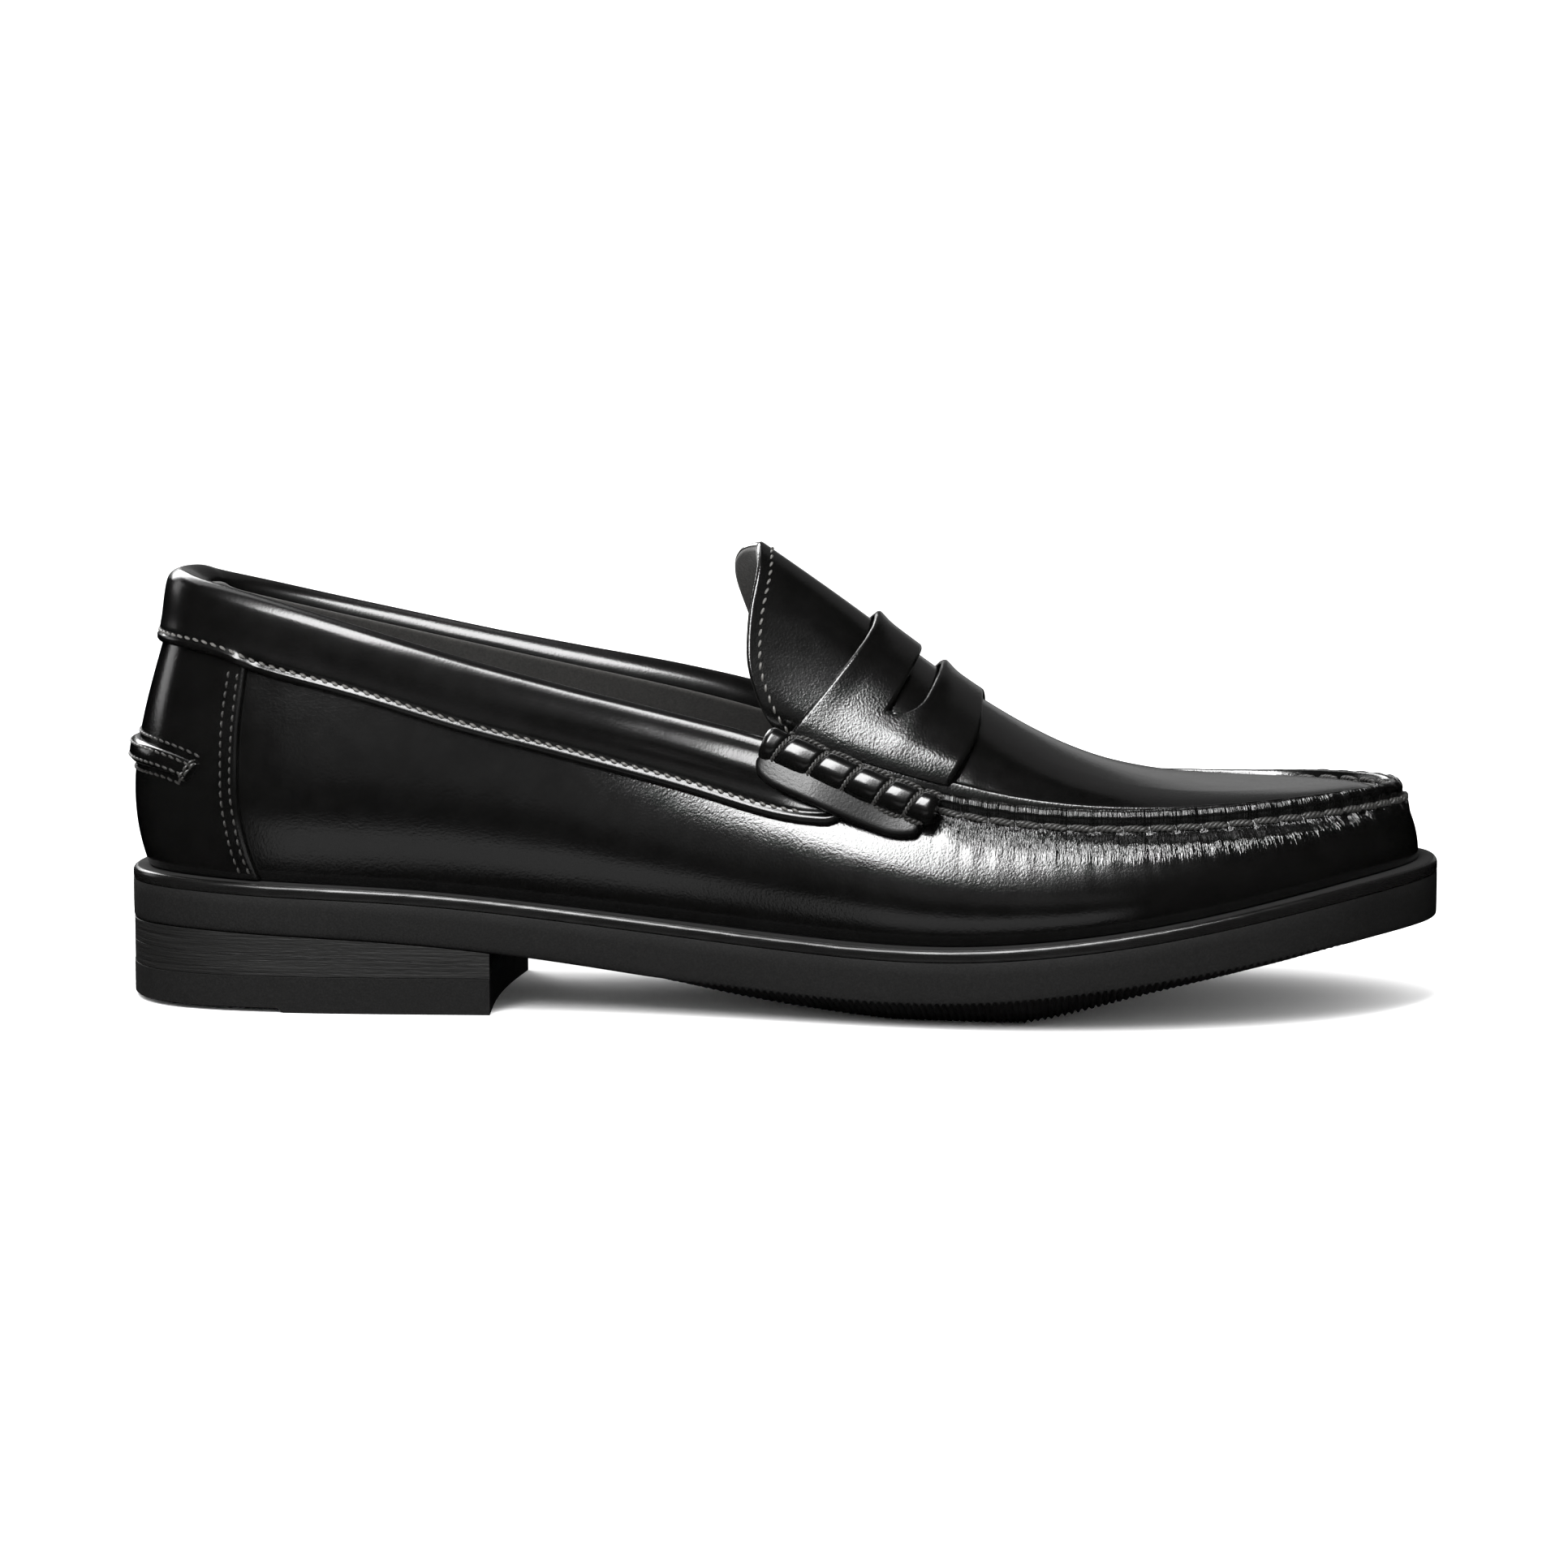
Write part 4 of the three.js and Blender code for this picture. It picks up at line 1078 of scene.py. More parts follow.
def roll_shape(side):
    """A beef roll: the strap's end rolled into a bar and rounded off at both ends."""
    f = np.unique(np.concatenate([np.linspace(0, 1, 110), [0.002, 0.006, 0.012, 0.99, 0.996]]))
    axis, out, up = roll_axis(side, f)
    angle = np.linspace(-180, 180, 64, endpoint=False)[None]
    radius = roll_radius(f[:, None], angle)
    ends = np.minimum(f / 0.03, (1 - f) / 0.05)
    radius = radius * (1 - 0.2 * (1 - np.clip(ends, 0, 1))**2)[:, None]
    turn = np.radians(angle)[..., None]
    points = axis[:, None] + radius[..., None] * (np.cos(turn) * out[:, None] + np.sin(turn) * up[:, None])
    return loft(Shape(), points)


def on_roll(side, f, angle, above):
    """Points and outward normals on a beef roll."""
    f = np.asarray(f, float)
    axis, out, up = roll_axis(side, f)
    turn = np.radians(np.broadcast_to(angle, f.shape))[:, None]
    normal = np.cos(turn) * out + np.sin(turn) * up
    return axis + (roll_radius(f, np.broadcast_to(angle, f.shape)) + above)[:, None] * normal, normal


def roll_threads(side):
    """Braided thread along both seams of the roll, and five wraps round it."""
    shape = Shape()
    for seam, (first, last) in zip(ROLL_SEAMS, BRAID_ENDS):
        crossings = [place + WRAP_LEAN * seam / 90 for place in WRAPS]
        bounds = [first, *[place for place in crossings if first < place < last], last]
        for number, (a, b) in enumerate(zip(bounds[:-1], bounds[1:])):
            f = np.linspace(a, b + 0.012, 26)
            path, normal = on_roll(side, f, seam, 0.0)
            arch = np.sin(np.linspace(0, 1, 26) * math.pi)**0.5
            path = path + 0.5 * arch[:, None] * normal
            rope(shape, path, normal, 0.68, 2.4, strands=2, taper=0.35, start=2.1 * number)
    for number, place in enumerate(WRAPS):
        angle = np.linspace(ROLL_SEAMS[0] + 6, ROLL_SEAMS[1] - 6, 44)
        f = place + WRAP_LEAN * angle / 90
        points, normals = [], []
        for one_f, one_angle in zip(f, angle):
            near = np.array([one_f - 1e-3, one_f, one_f + 1e-3])
            point, normal = on_roll(side, near, one_angle, 0.2)
            points.append(point[1])
            normals.append(normal[1])
        rope(shape, np.array(points), np.array(normals), 0.56, 2.2, strands=2, taper=0.3, start=1.3 * number)
    return shape


def closed_smooth(values, samples, keep):
    """Adds points between the knots of closed rows, rounding all but the first keep knots."""
    count = values.shape[1]
    position = np.arange(count * samples) / samples
    i = np.floor(position).astype(int)
    f = position - i
    a, b, c, d = (values[:, (i + k) % count] for k in (-1, 0, 1, 2))
    curved = b + 0.5 * f * (c - a + f * (2 * a - 5 * b + 4 * c - d + f * (3 * (b - c) + d - a)))
    straight = b + f * (c - b)
    return np.where(((i < keep) | (i == count - 1))[None], straight, curved)


def collar_seat(w):
    """How far the collar's lower edge stands off the wall: it passes over the foxing at the heel."""
    return WALL_CLEARANCE + FOXING_RISE * (1 - smooth(w, 2.6, 2.82))


def collar_section(q, fill):
    """Depth and lift of the collar's outline at ring positions q, as a closed loop. It runs from the stitched
    lower edge up the face, over the roll and down inside. Under the beef rolls it is flat."""
    w = np.abs(q)[:, None]
    edge = open_spline(*COLLAR_EDGE)(w)
    seat = collar_seat(w)
    low = seat + COLLAR_THICKNESS
    face = WALL_CLEARANCE + FOXING_RISE * (1 - smooth(w, 2.0, 3.5)) + COLLAR_THICKNESS
    # The padding stands the face upright, so it leans out more where the wall behind it leans in.
    full_at = face + fill * np.interp(w, [0, 4.4, 5, 5.5, 6, 7], [1.3, 1.3, 2.3, 3.3, 3.9, 3.9])
    lean = np.interp(w, [4.2, 5.4, 6], [0, 0.6, 1])
    shoulder = full_at - 3.2
    foot = [(edge - 0.25, seat), (edge, seat + 0.35), (edge + 0.02, low - 0.55), (edge - 0.35, low - 0.05),
            (edge - 1.15, low + 0.2), (edge - 2.2, low - 0.22)]
    full = [*foot, (edge - 3.1, mix(face, full_at, 0.07)), (edge - 5.5, mix(face, full_at, 0.3)),
            (7.5, mix(face, full_at, 0.78)), (4.6, full_at - 0.4 * lean), (2.7, full_at - 0.12 + 0.35 * lean),
            (1.3, full_at - 0.8 + 0.65 * lean), (0.4, full_at - 1.9 + 0.7 * lean),
            (0.05, shoulder + 0.4 * lean),
            (0.6, mix(shoulder, -4.5, 0.45)), (1.9, mix(shoulder, -4.5, 0.82)), (4.2, -4.5),
            (7.0, -4.5), (9.5, -4.4), (11.2, -4.3), (11.6, -4.15), (11.4, -4.0),
            (10.0, -3.6), (9.2, -2.6), (8.4, -1.9), (8.2, -0.8), (8.6, 0.1), (11.5, 0.12)]
    flat = [*foot, (edge - 3.1, face), (8.4, 1.45), (7.6, 1.45), (7.0, 1.45), (6.4, 1.45), (6.0, 1.4),
            (5.6, 1.2), (5.2, 0.9), (5.2, 0.7), (5.3, 0.5), (5.5, 0.35), (5.9, 0.25), (6.2, 0.2),
            (6.5, 0.18), (6.8, 0.17), (7.1, 0.16), (7.4, 0.15), (7.7, 0.14), (8.0, 0.13), (8.4, 0.12),
            (9.0, 0.12), (10.5, 0.12)]
    share = smooth(w, 6.2, 6.44)
    pairs = [[mix(a + 0 * w, b + 0 * w, share) for a, b in zip(one, other)] for one, other in zip(full, flat)]
    return (np.concatenate(values, 1) for values in zip(*pairs))


def collar_shape(fill):
    """The collar with its padding, from one beef roll round the heel to the other."""
    q = np.concatenate([np.linspace(0, 6.1, 118), np.linspace(6.1, COLLAR_REACH, 36)[1:]])
    q = np.concatenate([-q[:0:-1], q])
    depth, lift = collar_section(q, fill)
    depth, lift = closed_smooth(depth, 3, 4), closed_smooth(lift, 3, 4)
    run = run_lengths(wall_skin(q, 1.0))[:, None]
    bulk = np.exp(-((depth - 4) / 4.5)**2)
    soft = 0.05 * np.sin(0.11 * run + 0.8) + 0.03 * np.sin(0.27 * run + 0.3 * depth)
    lift = lift + soft * bulk * fill * np.sign(lift)
    return loft(Shape(), wall(q[:, None], wall_height(q[:, None], depth), lift))


def collar_seam():
    """Path and normals of the stitches along the collar's lower edge."""
    q = np.linspace(-6.42, 6.42, 1800)
    edge = open_spline(*COLLAR_EDGE)(np.abs(q)) - 2.25
    path, normal = placed(wall_skin, q, wall_height(q, edge))
    return path + normal * (collar_seat(np.abs(q)) + 1.3)[:, None], normal


def foxing_shape():
    """The heel foxing wraps the back of the shoe from the welt up under the collar."""
    share = spread(60, 0.012)[:, None]
    b = spread(40, 0.02)[None] * 2 - 1
    v = share * 0.8
    v = np.minimum(v, wall_height(b * 2.7, 13.5))
    q = b * open_spline(*FOXING_EDGE)(v)
    return panel(Shape(), wall_skin, q, v + 0.004, 0.05, 1.35, 0.55)


def at_height(q, z):
    """The wall's v at a height above the ground."""
    foot = welt_top(q) + GAP
    return (z - foot) / (top_z(q) - foot)


def tab_place(s, up):
    """Ring position and v on the heel tab: s is -1 to 1 round the heel, up is 0 at its foot, 1 on top."""
    q_top, q_foot = s * TAB_TOP[0][-1], s * TAB_FOOT[0][-1]
    z_top = open_spline(*TAB_TOP)(np.abs(q_top))
    z_foot = open_spline(*TAB_FOOT)(np.abs(q_foot))
    q = mix(q_foot, q_top, up)
    return q, at_height(q, mix(z_foot, z_top, up))


def tab_shape():
    """The heel tab: a band over the back seam, a little full between its edges."""
    s = (spread(70, 0.02) * 2 - 1)[:, None]
    up = spread(12, 0.18)[None]
    q, v = tab_place(s, up)
    puff = 0.5 * np.sin(math.pi * np.clip(up, 0, 1)) * (1 - s**8)
    return panel(Shape(), wall_skin, q, v, 1.4, 2.7 + puff, 1.0)


def tab_threads(pitch):
    """Rows of stitches on and beside the heel tab, and the slanting ones that bar its ends."""
    shape = Shape()
    s = np.linspace(-0.98, 0.98, 500)
    for up, lift in ((1.3, 1.4), (0.8, 3.0), (0.24, 3.0), (-0.28, 1.4)):
        q, v = tab_place(s, up)
        path, normal = placed(wall_skin, q, v)
        stitches(shape, path + lift * normal, normal, pitch * 0.9, pitch * 0.62, 0.3, rise=0.16, sink=0.3,
                 skew=0.35)
    for end in (-1, 1):
        for k in range(7):
            up = np.linspace(-0.35 + 0.18 * k, 0.1 + 0.18 * k, 8)
            q, v = tab_place(end * (0.965 + 0.02 * (k % 2)) + 0 * up, up)
            path, normal = placed(wall_skin, q, v)
            lift = 1.6 + 1.45 * smooth(up, -0.1, 0.15) * (1 - smooth(up, 0.85, 1.1))
            stitches(shape, path + lift[:, None] * normal, normal, 9, 1.7, 0.34, rise=0.2, sink=0.35)
    return shape


def lining_shape():
    """Suede round the inside of the heel and quarters, up over the inner face of the collar."""
    q = np.linspace(-7.0, 7.0, 260)[:, None]
    share = spread(36, 0.03)[None]
    top = wall_height(q, mix(2.7, 5.5, smooth(np.abs(q), 6.1, 6.5)))
    v = mix(0.1, top, share)
    depth = (1 - v) * (top_z(q) - welt_top(q) - GAP)
    out = mix(-3.7, -4.6, 1 - smooth(depth, 9, 13))
    over = wall(q, v, out)
    drop = rounding(edge_distance(over), 0.6)
    return slab(Shape(), over, wall(q, v, out - 0.85 + drop))


def vamp_lining_shape():
    """Suede inside the front of the vamp."""
    q = np.linspace(7.02, ROUND - 7.02, 200)[:, None]
    v = mix(0.14, 0.8, np.linspace(0, 1, 16)[None])
    return slab(Shape(), wall(q, v, -3.7 + 0 * v), wall(q, v, -4.7 + 0 * v))


def toe_puff_shape():
    """A stiffener between the vamp and its lining that holds the toe's shape."""
    q = np.linspace(10.7, ROUND - 10.7, 120)[:, None]
    v = np.linspace(0.1, 0.56, 14)[None]
    return slab(Shape(), wall(q, v, -2.3 + 0 * v), wall(q, v, -3.3 + 0 * v))


def insole_height(w):
    """Top of the insole board."""
    return welt_top(w) + 3.1


def bed_shape(first, last, inset, height, thickness, rows, columns, edge, cup=0.0):
    """A layer lying on the insole from side to side, with rounded edges that may curl up the wall."""
    w = mix(first, last, spread(rows, 0.01))[:, None]
    share = spread(columns, 0.04)[None]
    lateral, medial = sole_edge(w, inset, height(w)), sole_edge(ROUND - w, inset, height(w))
    over = mix(lateral, medial, share[..., None])
    over[..., 2] += thickness
    near = edge_distance(over)
    over[..., 2] += cup * np.exp(-near / 3.5) - rounding(near, edge)
    under = over.copy()
    under[..., 2] -= thickness - rounding(near, edge) * 0.9
    return slab(Shape(), over, under)


def heel_pad_shape():
    """A foam heel pad under suede, fuller in the middle and rounded in front."""
    inset, last = 11.5, 4.6
    w = mix(0.25, last, spread(60, 0.02))[:, None]
    share = spread(40, 0.03)[None]
    front = last - 0.55 * (2 * share - 1)**2 * smooth(w, 3.4, last)
    w = np.minimum(w, front) + 0 * share
    height = insole_height(w) + 1.35
    under = mix(sole_edge(w, inset, height), sole_edge(ROUND - w, inset, height), (share + 0 * w)[..., None])
    near = edge_distance(under)
    over = under.copy()
    over[..., 2] += 0.35 + 2.3 * (1 - np.exp(-near / 3.0)) + 0.35 * (1 - np.exp(-near / 14))
    return slab(Shape(), over, under)


def welt_shape():
    """The welt runs round the whole shoe: a flat strip with a rounded, burnished outer edge."""
    q = np.linspace(0, ROUND, 560, endpoint=False)[:, None]
    inset, height = np.array(WELT).T[:, None]
    return loft(Shape(), sole_edge(q, inset, welt_top(q) + height), ring=True)


def outsole_shape(pitch, depth):
    """The outsole: smooth sides, a rounded lower edge and a grooved tread under the ball of the foot."""
    heel = np.linspace(HEEL_BACK, 5.6, 130)
    toe = np.linspace(10.6, 12.996, 110)
    knots = np.linspace(5.6, 10.6, 900)
    x = sole_x(knots)
    ball = np.interp(np.linspace(x[0], x[-1], 470)[1:-1], x, knots)
    w = np.concatenate([heel, ball, toe])[:, None]
    top = welt_top(w) - 2.86
    low = sole_edge_z(w)
    tread = np.maximum(0, tread_z(w))
    width = np.linalg.norm(sole_edge(w, 0, 0 * w) - sole_edge(ROUND - w, 0, 0 * w), axis=-1)
    room = np.minimum(1, width / 40)
    forward = smooth(w, 5.4, 6.2) * (1 - smooth(w, 10.3, 10.8))
    groove = forward * depth * (0.5 + 0.5 * np.cos(2 * math.pi * sole_x(w) / pitch))**0.8
    side = [(0.5, top), (0.1, top - 0.04), (0, top - 0.2), (-0.1, mix(top, low, 0.3)),
            (-0.12, mix(top, low, 0.55)), (-0.1, mix(top, low, 0.75)), (-0.05, low + 1.4),
            (0.02, low + 0.7 + 0.4 * groove), (0.25, low + 0.2 + groove), (0.7, low + groove),
            (1.6, mix(low, tread, 0.06) + groove), (4.5, mix(low, tread, 0.42) + groove),
            (9, mix(low, tread, 0.82) + groove), (14, tread + groove)]
    lateral = [sole_edge(w, inset * room, z) for inset, z in side]
    medial = [sole_edge(ROUND - w, inset * room, z) for inset, z in side]
    middle = [mix(lateral[-1], medial[-1], share) for share in (1 / 3, 2 / 3)]
    points = np.concatenate([*lateral, *middle, *medial[::-1]], 1)
    points[..., 2] = np.maximum(points[..., 2], 0)
    return loft(Shape(), points)


def breast(share):
    """Where a heel layer ends in front: its face is hollowed a little across the heel."""
    return 4.47 + 0.05 * share - 0.05 * np.sin(math.pi * share)


def heel_shape(bottom, top, inset, edge, notch=None):
    """A layer of the heel from the back to the breast, with eased edges."""
    share = np.linspace(0, 1, 15)[None]
    w = mix(HEEL_BACK, breast(share), np.linspace(0, 1, 170)[:, None])
    low, high = bottom(w), top(w)
    if notch:
        low = low + notch(sole_x(w)) * (0.5 - 0.5 * np.tanh(share * 40 - 3))

    def face(height):
        ends = sole_edge(w, inset + edge, height), sole_edge(ROUND - w, inset + edge, height)
        return mix(*ends, (share + 0 * w)[..., None])

    levels = [high - edge * 0.8, mix(high, low, 0.35), mix(high, low, 0.7), low + edge * 0.8]
    lateral = [sole_edge(w[:, :1], inset, level[:, :1]) for level in levels]
    medial = [sole_edge(ROUND - w[:, -1:], inset, level[:, -1:]) for level in levels]
    return loft(Shape(), np.concatenate([face(high), *medial, face(low)[:, ::-1], *lateral[::-1]], 1))


def stack_top(w):
    """Top of the heel's boards, just under the outsole."""
    return sole_edge_z(w) - 0.12


def stack_joint(w):
    """Height at which the two boards meet."""
    return mix(TOP_LIFT, stack_top(w), 0.5)


def board_shape(number):
    """Board 1 rests on the top lift, and board 2 on board 1."""
    if number == 1:
        return heel_shape(lambda w: TOP_LIFT + 0 * w, lambda w: stack_joint(w) - JOINT, 0.1, 0.07)
    return heel_shape(lambda w: stack_joint(w) + JOINT, stack_top, 0.1, 0.07)


def top_lift_shape():
    """The rubber top lift, cut back at the lower edge of its back corner on the lateral side."""
    return heel_shape(lambda w: 0 * w, lambda w: TOP_LIFT - 0.06 + 0 * w, 0.0, 0.18,
                      notch=lambda x: 1.0 - smooth(x, -112, -110.4))


# ---- Operators ------------------------------------------------------------------------------------

def painted(finish, *names):
    """Gives CAD nodes that stay as they are their material."""
    for name in names:
        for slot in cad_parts[name].material_slots:
            slot.material = finish


class LOAFER_OT_vamp(bpy.types.Operator):
    """Wrap the vamp round the last and gather it into the ridge of the apron seam"""
    bl_idname = "loafer.vamp"
    bl_label = "Vamp"

    def execute(self, context):
        scene, looks = context.scene, finishes(context.scene)
        shape = vamp_shape(scene.loafer_upper.pucker, scene.loafer_threads.apron_pitch)
        made("vamp_leather", shape, looks["calf_vamp"], ("vamp",), sharp=55)
        return {"FINISHED"}


class LOAFER_OT_apron(bpy.types.Operator):
    """Lay the apron inside the ridge and sew it with waxed thread on both sides"""
    bl_idname = "loafer.apron"
    bl_label = "Apron and its seam"

    def execute(self, context):
        looks = finishes(context.scene)
        pitch = context.scene.loafer_threads.apron_pitch
        made("apron_leather", apron_shape(), looks["calf"], ("apron",), sharp=60)
        shape = Shape()
        for side, length, radius in (("outside", 0.9, 0.8), ("inside", 0.84, 0.6)):
            path, normal = apron_seam(side)
            stitches(shape, path, normal, pitch, pitch * length, radius, rise=0.15, sink=0.75, twisted=True,
                     skew=0.3)
        made("apron_stitches", shape, looks["thread_seam"], ("apron_thread",), sharp=60)
        return {"FINISHED"}


class LOAFER_OT_tongue(bpy.types.Operator):
    """Cut the tongue and its lining and stitch their edge"""
    bl_idname = "loafer.tongue"
    bl_label = "Tongue"

    def execute(self, context):
        looks = finishes(context.scene)
        leather, lining, seam = tongue_shapes()
        for name, shape, finish, slot, nodes in (
                ("tongue_leather", leather, "calf", "upper_leather", ("tongue",)),
                ("tongue_suede", lining, "suede", "lining", ("tongue_lining",)),
                ("tongue_stitches", seam, "thread_fine", "thread", ())):
            made(name, shape, looks[finish], nodes, TONGUE, bends=TONGUE_BEND)
        return {"FINISHED"}


class LOAFER_OT_strap(bpy.types.Operator):
    """Lay the saddle strap and its slot across the instep"""
    bl_idname = "loafer.strap"
    bl_label = "Saddle strap"

    def execute(self, context):
        looks = finishes(context.scene)
        made("saddle", strap_shape(), looks["calf_strap"], ("saddle_strap",), sharp=55,
             weld=True)
        for side in ("lateral", "medial"):
            made("saddle_end_" + side, flange_shape(side), looks["calf_end"],
                 ("strap_end_" + side,), sharp=60)
        return {"FINISHED"}


class LOAFER_OT_rolls(bpy.types.Operator):
    """Roll the strap's ends and bind them with braided thread"""
    bl_idname = "loafer.rolls"
    bl_label = "Beef rolls"

    def execute(self, context):
        looks = finishes(context.scene)
        for side in ("lateral", "medial"):
            made("roll_" + side, roll_shape(side), looks["calf_roll"],
                 ("beef_roll_" + side,), sharp=50)
            made("roll_braid_" + side, roll_threads(side), looks["thread_seam"],
                 ("roll_thread_" + side,), sharp=60)
        return {"FINISHED"}


class LOAFER_OT_collar(bpy.types.Operator):
    """Pad the collar, flatten its ends under the beef rolls and stitch it down"""
    bl_idname = "loafer.collar"
    bl_label = "Collar"

    def execute(self, context):
        scene, looks = context.scene, finishes(context.scene)
        fill = scene.loafer_upper.collar_fill
        pad = made("collar_pad", collar_shape(fill), looks["calf_collar"],
                   ("collar", "collar_foam"), sharp=50)
        shape, pitch = Shape(), scene.loafer_threads.fine_pitch
        path, normal = collar_seam()
        stitches(shape, path, normal, pitch, pitch * 0.66, 0.33, rise=0.2, sink=0.35, skew=0.4)
        made("collar_stitches", shape, looks["thread_fine"], ("collar_thread",))
        return {"FINISHED"}


class LOAFER_OT_heel_leather(bpy.types.Operator):
    """Wrap the foxing round the heel, then the tab over the back seam, each with its stitching"""
    bl_idname = "loafer.heel_leather"
    bl_label = "Heel foxing and tab"

    def execute(self, context):
        looks, pitch = finishes(context.scene), context.scene.loafer_threads.fine_pitch
        made("foxing", foxing_shape(), looks["calf"], ("heel_foxing",))
        shape = Shape()
        for places, stations in FOXING_ROWS:
            for side in (-1, 1):
                v = np.linspace(0.022, 0.72, 400)
                path, normal = placed(wall_skin, side * open_spline(places, stations)(v), v)
                stitches(shape, path + 1.38 * normal, normal, pitch * 0.92, pitch * 0.6, 0.3, rise=0.16,
                         sink=0.3)
        made("foxing_stitches", shape, looks["thread_heel"])
        made("back_tab", tab_shape(), looks["calf"], ("heel_tab",), sharp=60)
        made("back_tab_stitches", tab_threads(pitch), looks["thread_heel"])
        return {"FINISHED"}


class LOAFER_OT_linings(bpy.types.Operator):
    """Line the quarters, the vamp and the apron with suede"""
    bl_idname = "loafer.linings"
    bl_label = "Linings"

    def execute(self, context):
        looks = finishes(context.scene)
        made("quarter_suede", lining_shape(), looks["suede"], ("quarter_lining",))
        made("vamp_suede", vamp_lining_shape(), looks["suede"], ("vamp_lining",))
        painted(looks["suede"], "apron_lining")
        return {"FINISHED"}


class LOAFER_OT_footbed(bpy.types.Operator):
    """Lay the sock and the padded heel cushion on the insole board"""
    bl_idname = "loafer.footbed"
    bl_label = "Footbed"

    def execute(self, context):
        looks = finishes(context.scene)
        sock = bed_shape(0.05, 12.9, 9.4, insole_height, 0.95, 130, 40, 0.4, 0.7)
        made("sock_suede", sock, looks["suede_sock"], ("sock_liner",))
        pad = made("heel_cushion", heel_pad_shape(), looks["suede_sock"], ("heel_pad",), sharp=60)
        painted(looks["insole_fibre"], "insole_board")
        return {"FINISHED"}


class LOAFER_OT_bottom(bpy.types.Operator):
    """Set the welt on the rubber outsole with its grooved tread"""
    bl_idname = "loafer.bottom"
    bl_label = "Welt and outsole"

    def execute(self, context):
        sole, looks = context.scene.loafer_sole, finishes(context.scene)
        made("welt_strip", welt_shape(), looks["welt_edge"], ("welt",))
        made("outsole_rubber", outsole_shape(sole.tread_pitch, sole.tread_depth), looks["black_rubber"],
             ("outsole",))
        return {"FINISHED"}


class LOAFER_OT_heel(bpy.types.Operator):
    """Stack the heel from two lifts of leather board and a rubber top lift"""
    bl_idname = "loafer.heel"
    bl_label = "Heel"

    def execute(self, context):
        looks = finishes(context.scene)
        for number in (1, 2):
            made(f"heel_layer_{number}", board_shape(number), looks["heel_board"],
                 (f"heel_lift_{number}",))
        made("rubber_top_lift", top_lift_shape(), looks["black_rubber"], ("top_lift",))
        return {"FINISHED"}


class LOAFER_OT_inside(bpy.types.Operator):
    """Finish the stiffeners, filler, shank and nails that hide inside the shoe"""
    bl_idname = "loafer.inside"
    bl_label = "Hidden parts"

    def execute(self, context):
        looks = finishes(context.scene)
        made("toe_stiffener", toe_puff_shape(), looks["insole_fibre"], ("toe_puff",))
        painted(looks["insole_fibre"], "heel_counter")
        painted(looks["cork_crumb"], "cork_filler")
        painted(looks["spring_steel"], "shank")
        painted(looks["wire_steel"], *(f"heel_nail_{k}" for k in range(1, 6)))
        return {"FINISHED"}


# The middle of the shoe's lateral side, which every lamp faces, and the lamps round it: name, centre,
# the direction that its length runs in, width and length in metres, and radiance.
LIT_POINT = (0.03, -0.03, 0.05)
UPRIGHT = (0, 0, 1)
LAMPS = (
    ("front_card", (-0.3, -2.3, 0.45), UPRIGHT, (1.2, 0.6), 0.14),
    ("low_card", (-0.35, -2.2, -0.95), UPRIGHT, (1.7, 0.8), 0.45),
    ("rear_glow", (0.2, 3.0, 0.45), UPRIGHT, (2.4, 0.7), 0.3),
    ("rear_card", (0.4, 1.6, 1.3), UPRIGHT, (1.6, 1.6), 0.1),
    ("rear_key", (-0.62, 0.95, 0.72), UPRIGHT, (0.6, 0.75), 7),
    ("heel_card", (-1.3, 0.5, 0.5), UPRIGHT, (0.5, 0.6), 1.3),
    ("top_card", (-0.45, 0.5, 1.3), (1, 0, 0), (0.6, 0.9), 1.6),
)
FLOOR_REACH = 12


def softbox(name, centre, long_way, size, radiance):
    """A soft rectangular lamp of an even radiance that faces the shoe and doesn't show behind it."""
    lamp = bpy.data.lights.new(name, "AREA")
    lamp.shape = "RECTANGLE"
    lamp.size, lamp.size_y = size
    lamp.energy = radiance * math.pi * size[0] * size[1]
    holder = bpy.data.objects.new(name, lamp)
    away = (Vector(centre) - Vector(LIT_POINT)).normalized()
    along = Vector(long_way)
    along = (along - along.dot(away) * away).normalized()
    turn = Matrix((along.cross(away), along, away)).transposed()
    holder.matrix_world = Matrix.Translation(centre) @ turn.to_4x4()
    holder.visible_camera = False
    bpy.context.scene.collection.objects.link(holder)


def pale_floor(colour):
    """A wide sheet of pale paper that spreads light but isn't mirrored in the polish."""
    mesh = bpy.data.meshes.new("floor")
    corners = [(x * FLOOR_REACH, y * FLOOR_REACH, 0) for x, y in ((-1, -1), (1, -1), (1, 1), (-1, 1))]
    mesh.from_pydata(corners, [], [(0, 1, 2, 3)])
    finish = Finish("studio_paper", Specular_IOR_Level=0.05)
    share = finish.ranged(finish.noise(finish.places(), 900.0, 2.0), 0.3, 0.7, 0.0, 1.0)
    shades = finish.colours(share, shade_of(colour, 0.99), shade_of(colour, 1.0))
    mesh.materials.append(finish.shade(shades, 0.9))
    floor = bpy.data.objects.new("floor", mesh)
    floor.visible_glossy = False
    bpy.context.scene.collection.objects.link(floor)


def white_surround(scene, radiance):
    """White all round, which lights matt surfaces but isn't mirrored in the polish."""
    scene.world = bpy.data.worlds.new("studio")
    scene.world.use_nodes = True
    surround = scene.world.node_tree.nodes["Background"]
    surround.inputs["Color"].default_value = (1, 1, 1, 1)
    surround.inputs["Strength"].default_value = radiance
    scene.world.cycles_visibility.glossy = False


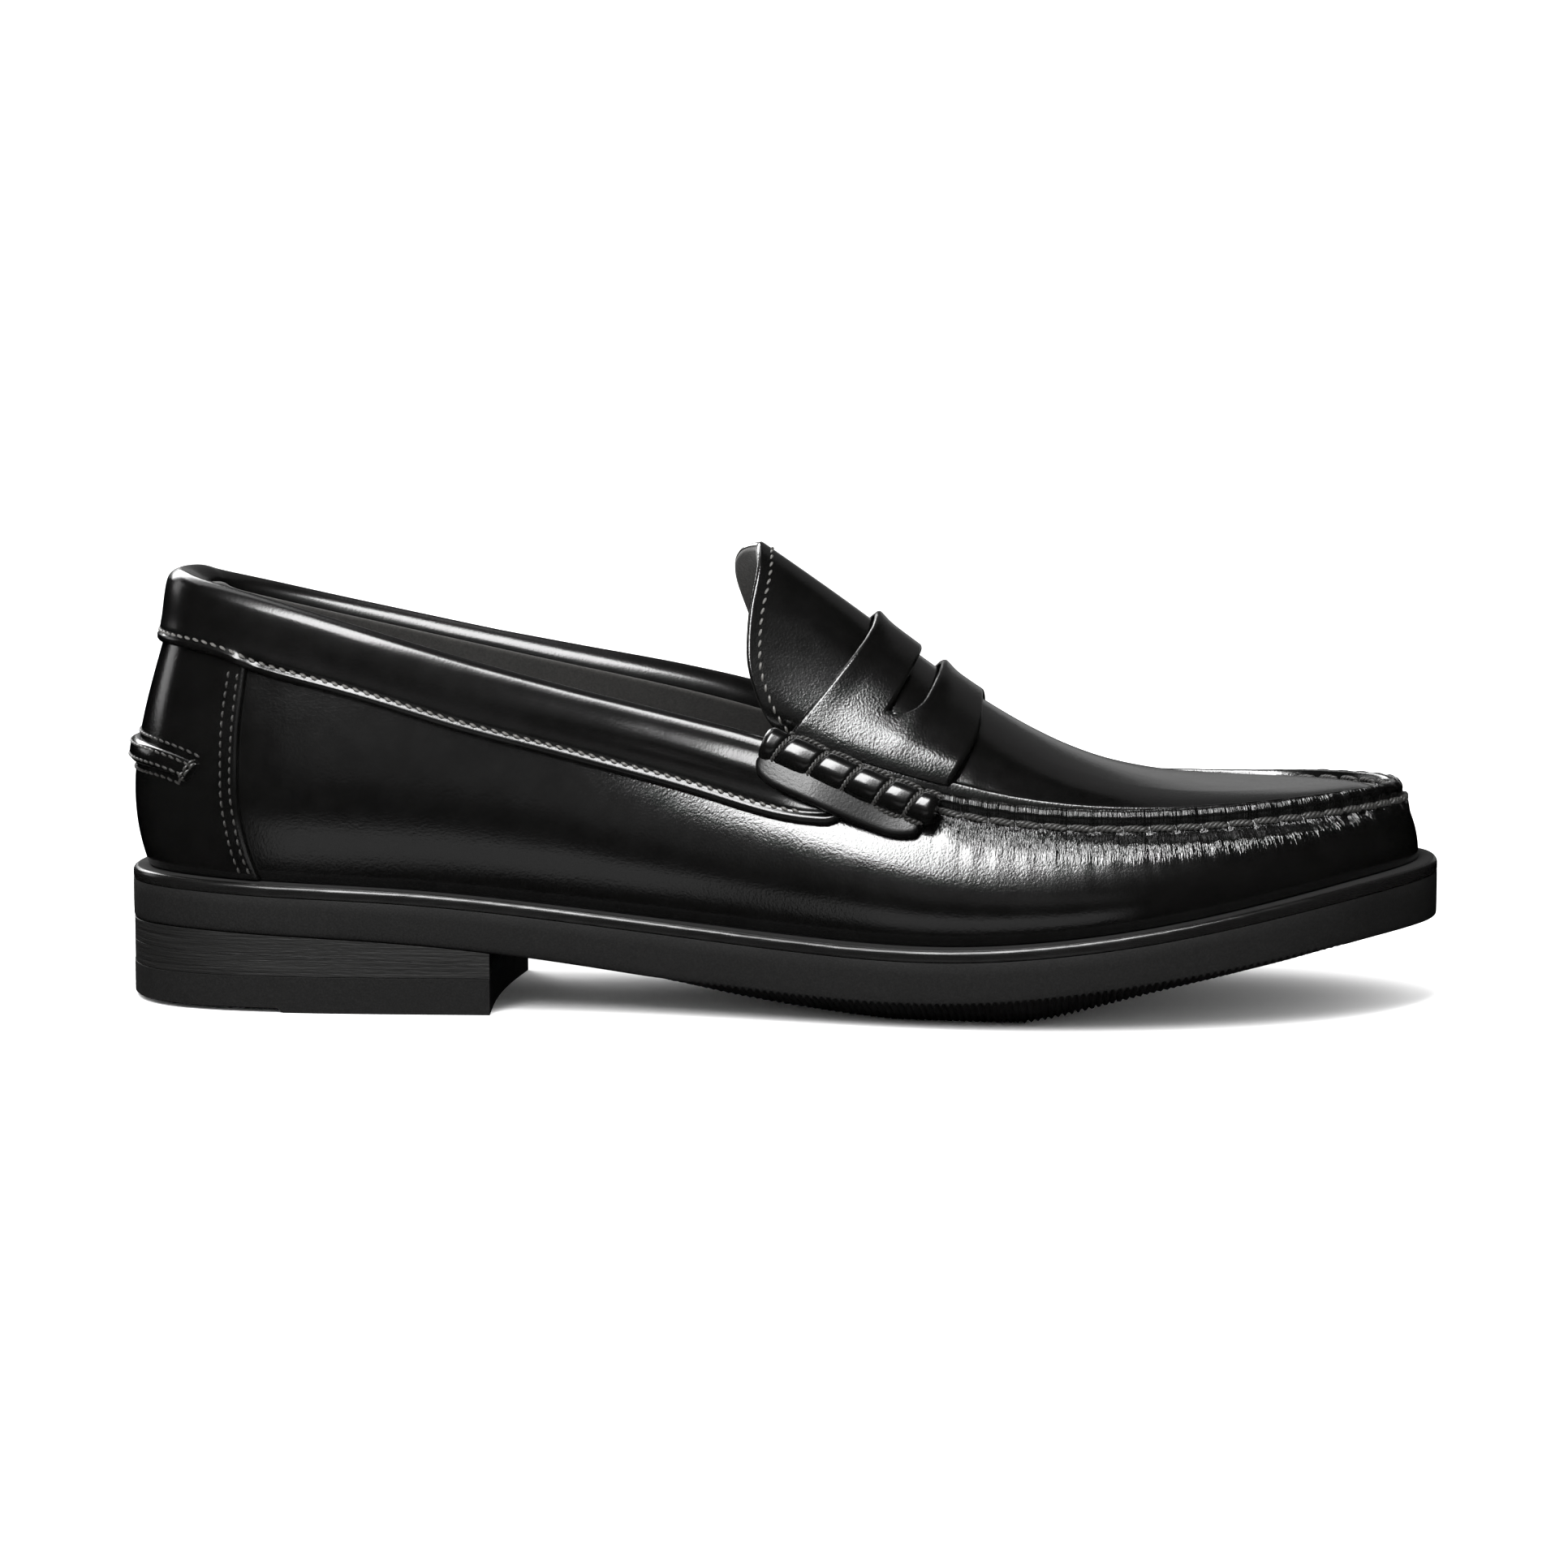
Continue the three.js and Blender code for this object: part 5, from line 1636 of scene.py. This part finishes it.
class LOAFER_OT_stage(bpy.types.Operator):
    """Set the floor, the soft lights and the camera"""
    bl_idname = "loafer.stage"
    bl_label = "Studio"

    def execute(self, context):
        scene, studio = context.scene, context.scene.loafer_studio
        pale_floor(studio.floor_colour)
        white_surround(scene, studio.surround)
        softbox("key", (-0.174, -0.725, 1.036), (0.49, 0.68, 0.53), (0.36, 1.2), studio.key_light)
        for lamp in LAMPS:
            softbox(*lamp)
        scene.view_settings.view_transform = "Standard"
        scene.view_settings.look = "None"
        camera = bpy.data.cameras.new("camera")
        camera.lens = studio.lens
        camera.sensor_width = 36
        holder = bpy.data.objects.new("camera", camera)
        az, el, target = studio.azimuth, studio.elevation, Vector(studio.aim)
        away = Vector((math.sin(az) * math.cos(el), -math.cos(az) * math.cos(el), math.sin(el)))
        holder.location = target + studio.distance * away
        holder.rotation_euler = (-away).to_track_quat("-Z", "Y").to_euler()
        scene.collection.objects.link(holder)
        scene.camera = holder
        return {"FINISHED"}


class LOAFER_PT_panel(bpy.types.Panel):
    """The shoe's pieces and their settings"""
    bl_idname = "LOAFER_PT_panel"
    bl_label = "Penny loafer"
    bl_space_type = "VIEW_3D"
    bl_region_type = "UI"
    bl_category = "Loafer"

    def draw(self, context):
        for name, group in SETTINGS.items():
            box = self.layout.box()
            for key in group.__annotations__:
                box.prop(getattr(context.scene, name), key)
        for operator in OPERATORS:
            self.layout.operator(operator.bl_idname)


OPERATORS = (
    LOAFER_OT_vamp, LOAFER_OT_apron, LOAFER_OT_tongue, LOAFER_OT_strap, LOAFER_OT_rolls, LOAFER_OT_collar,
    LOAFER_OT_heel_leather, LOAFER_OT_linings, LOAFER_OT_footbed, LOAFER_OT_bottom, LOAFER_OT_heel,
    LOAFER_OT_inside, LOAFER_OT_stage,
)


def register():
    for cls in (*SETTINGS.values(), *OPERATORS, LOAFER_PT_panel):
        bpy.utils.register_class(cls)
    for name, group in SETTINGS.items():
        setattr(bpy.types.Scene, name, bpy.props.PointerProperty(type=group))


def unregister():
    for name in SETTINGS:
        delattr(bpy.types.Scene, name)
    for cls in (LOAFER_PT_panel, *reversed(OPERATORS), *reversed(SETTINGS.values())):
        bpy.utils.unregister_class(cls)


def main():
    """Builds the whole shoe."""
    register()
    for operator in OPERATORS:
        group, name = operator.bl_idname.split(".")
        getattr(getattr(bpy.ops, group), name)()


if __name__ == "__main__":
    main()
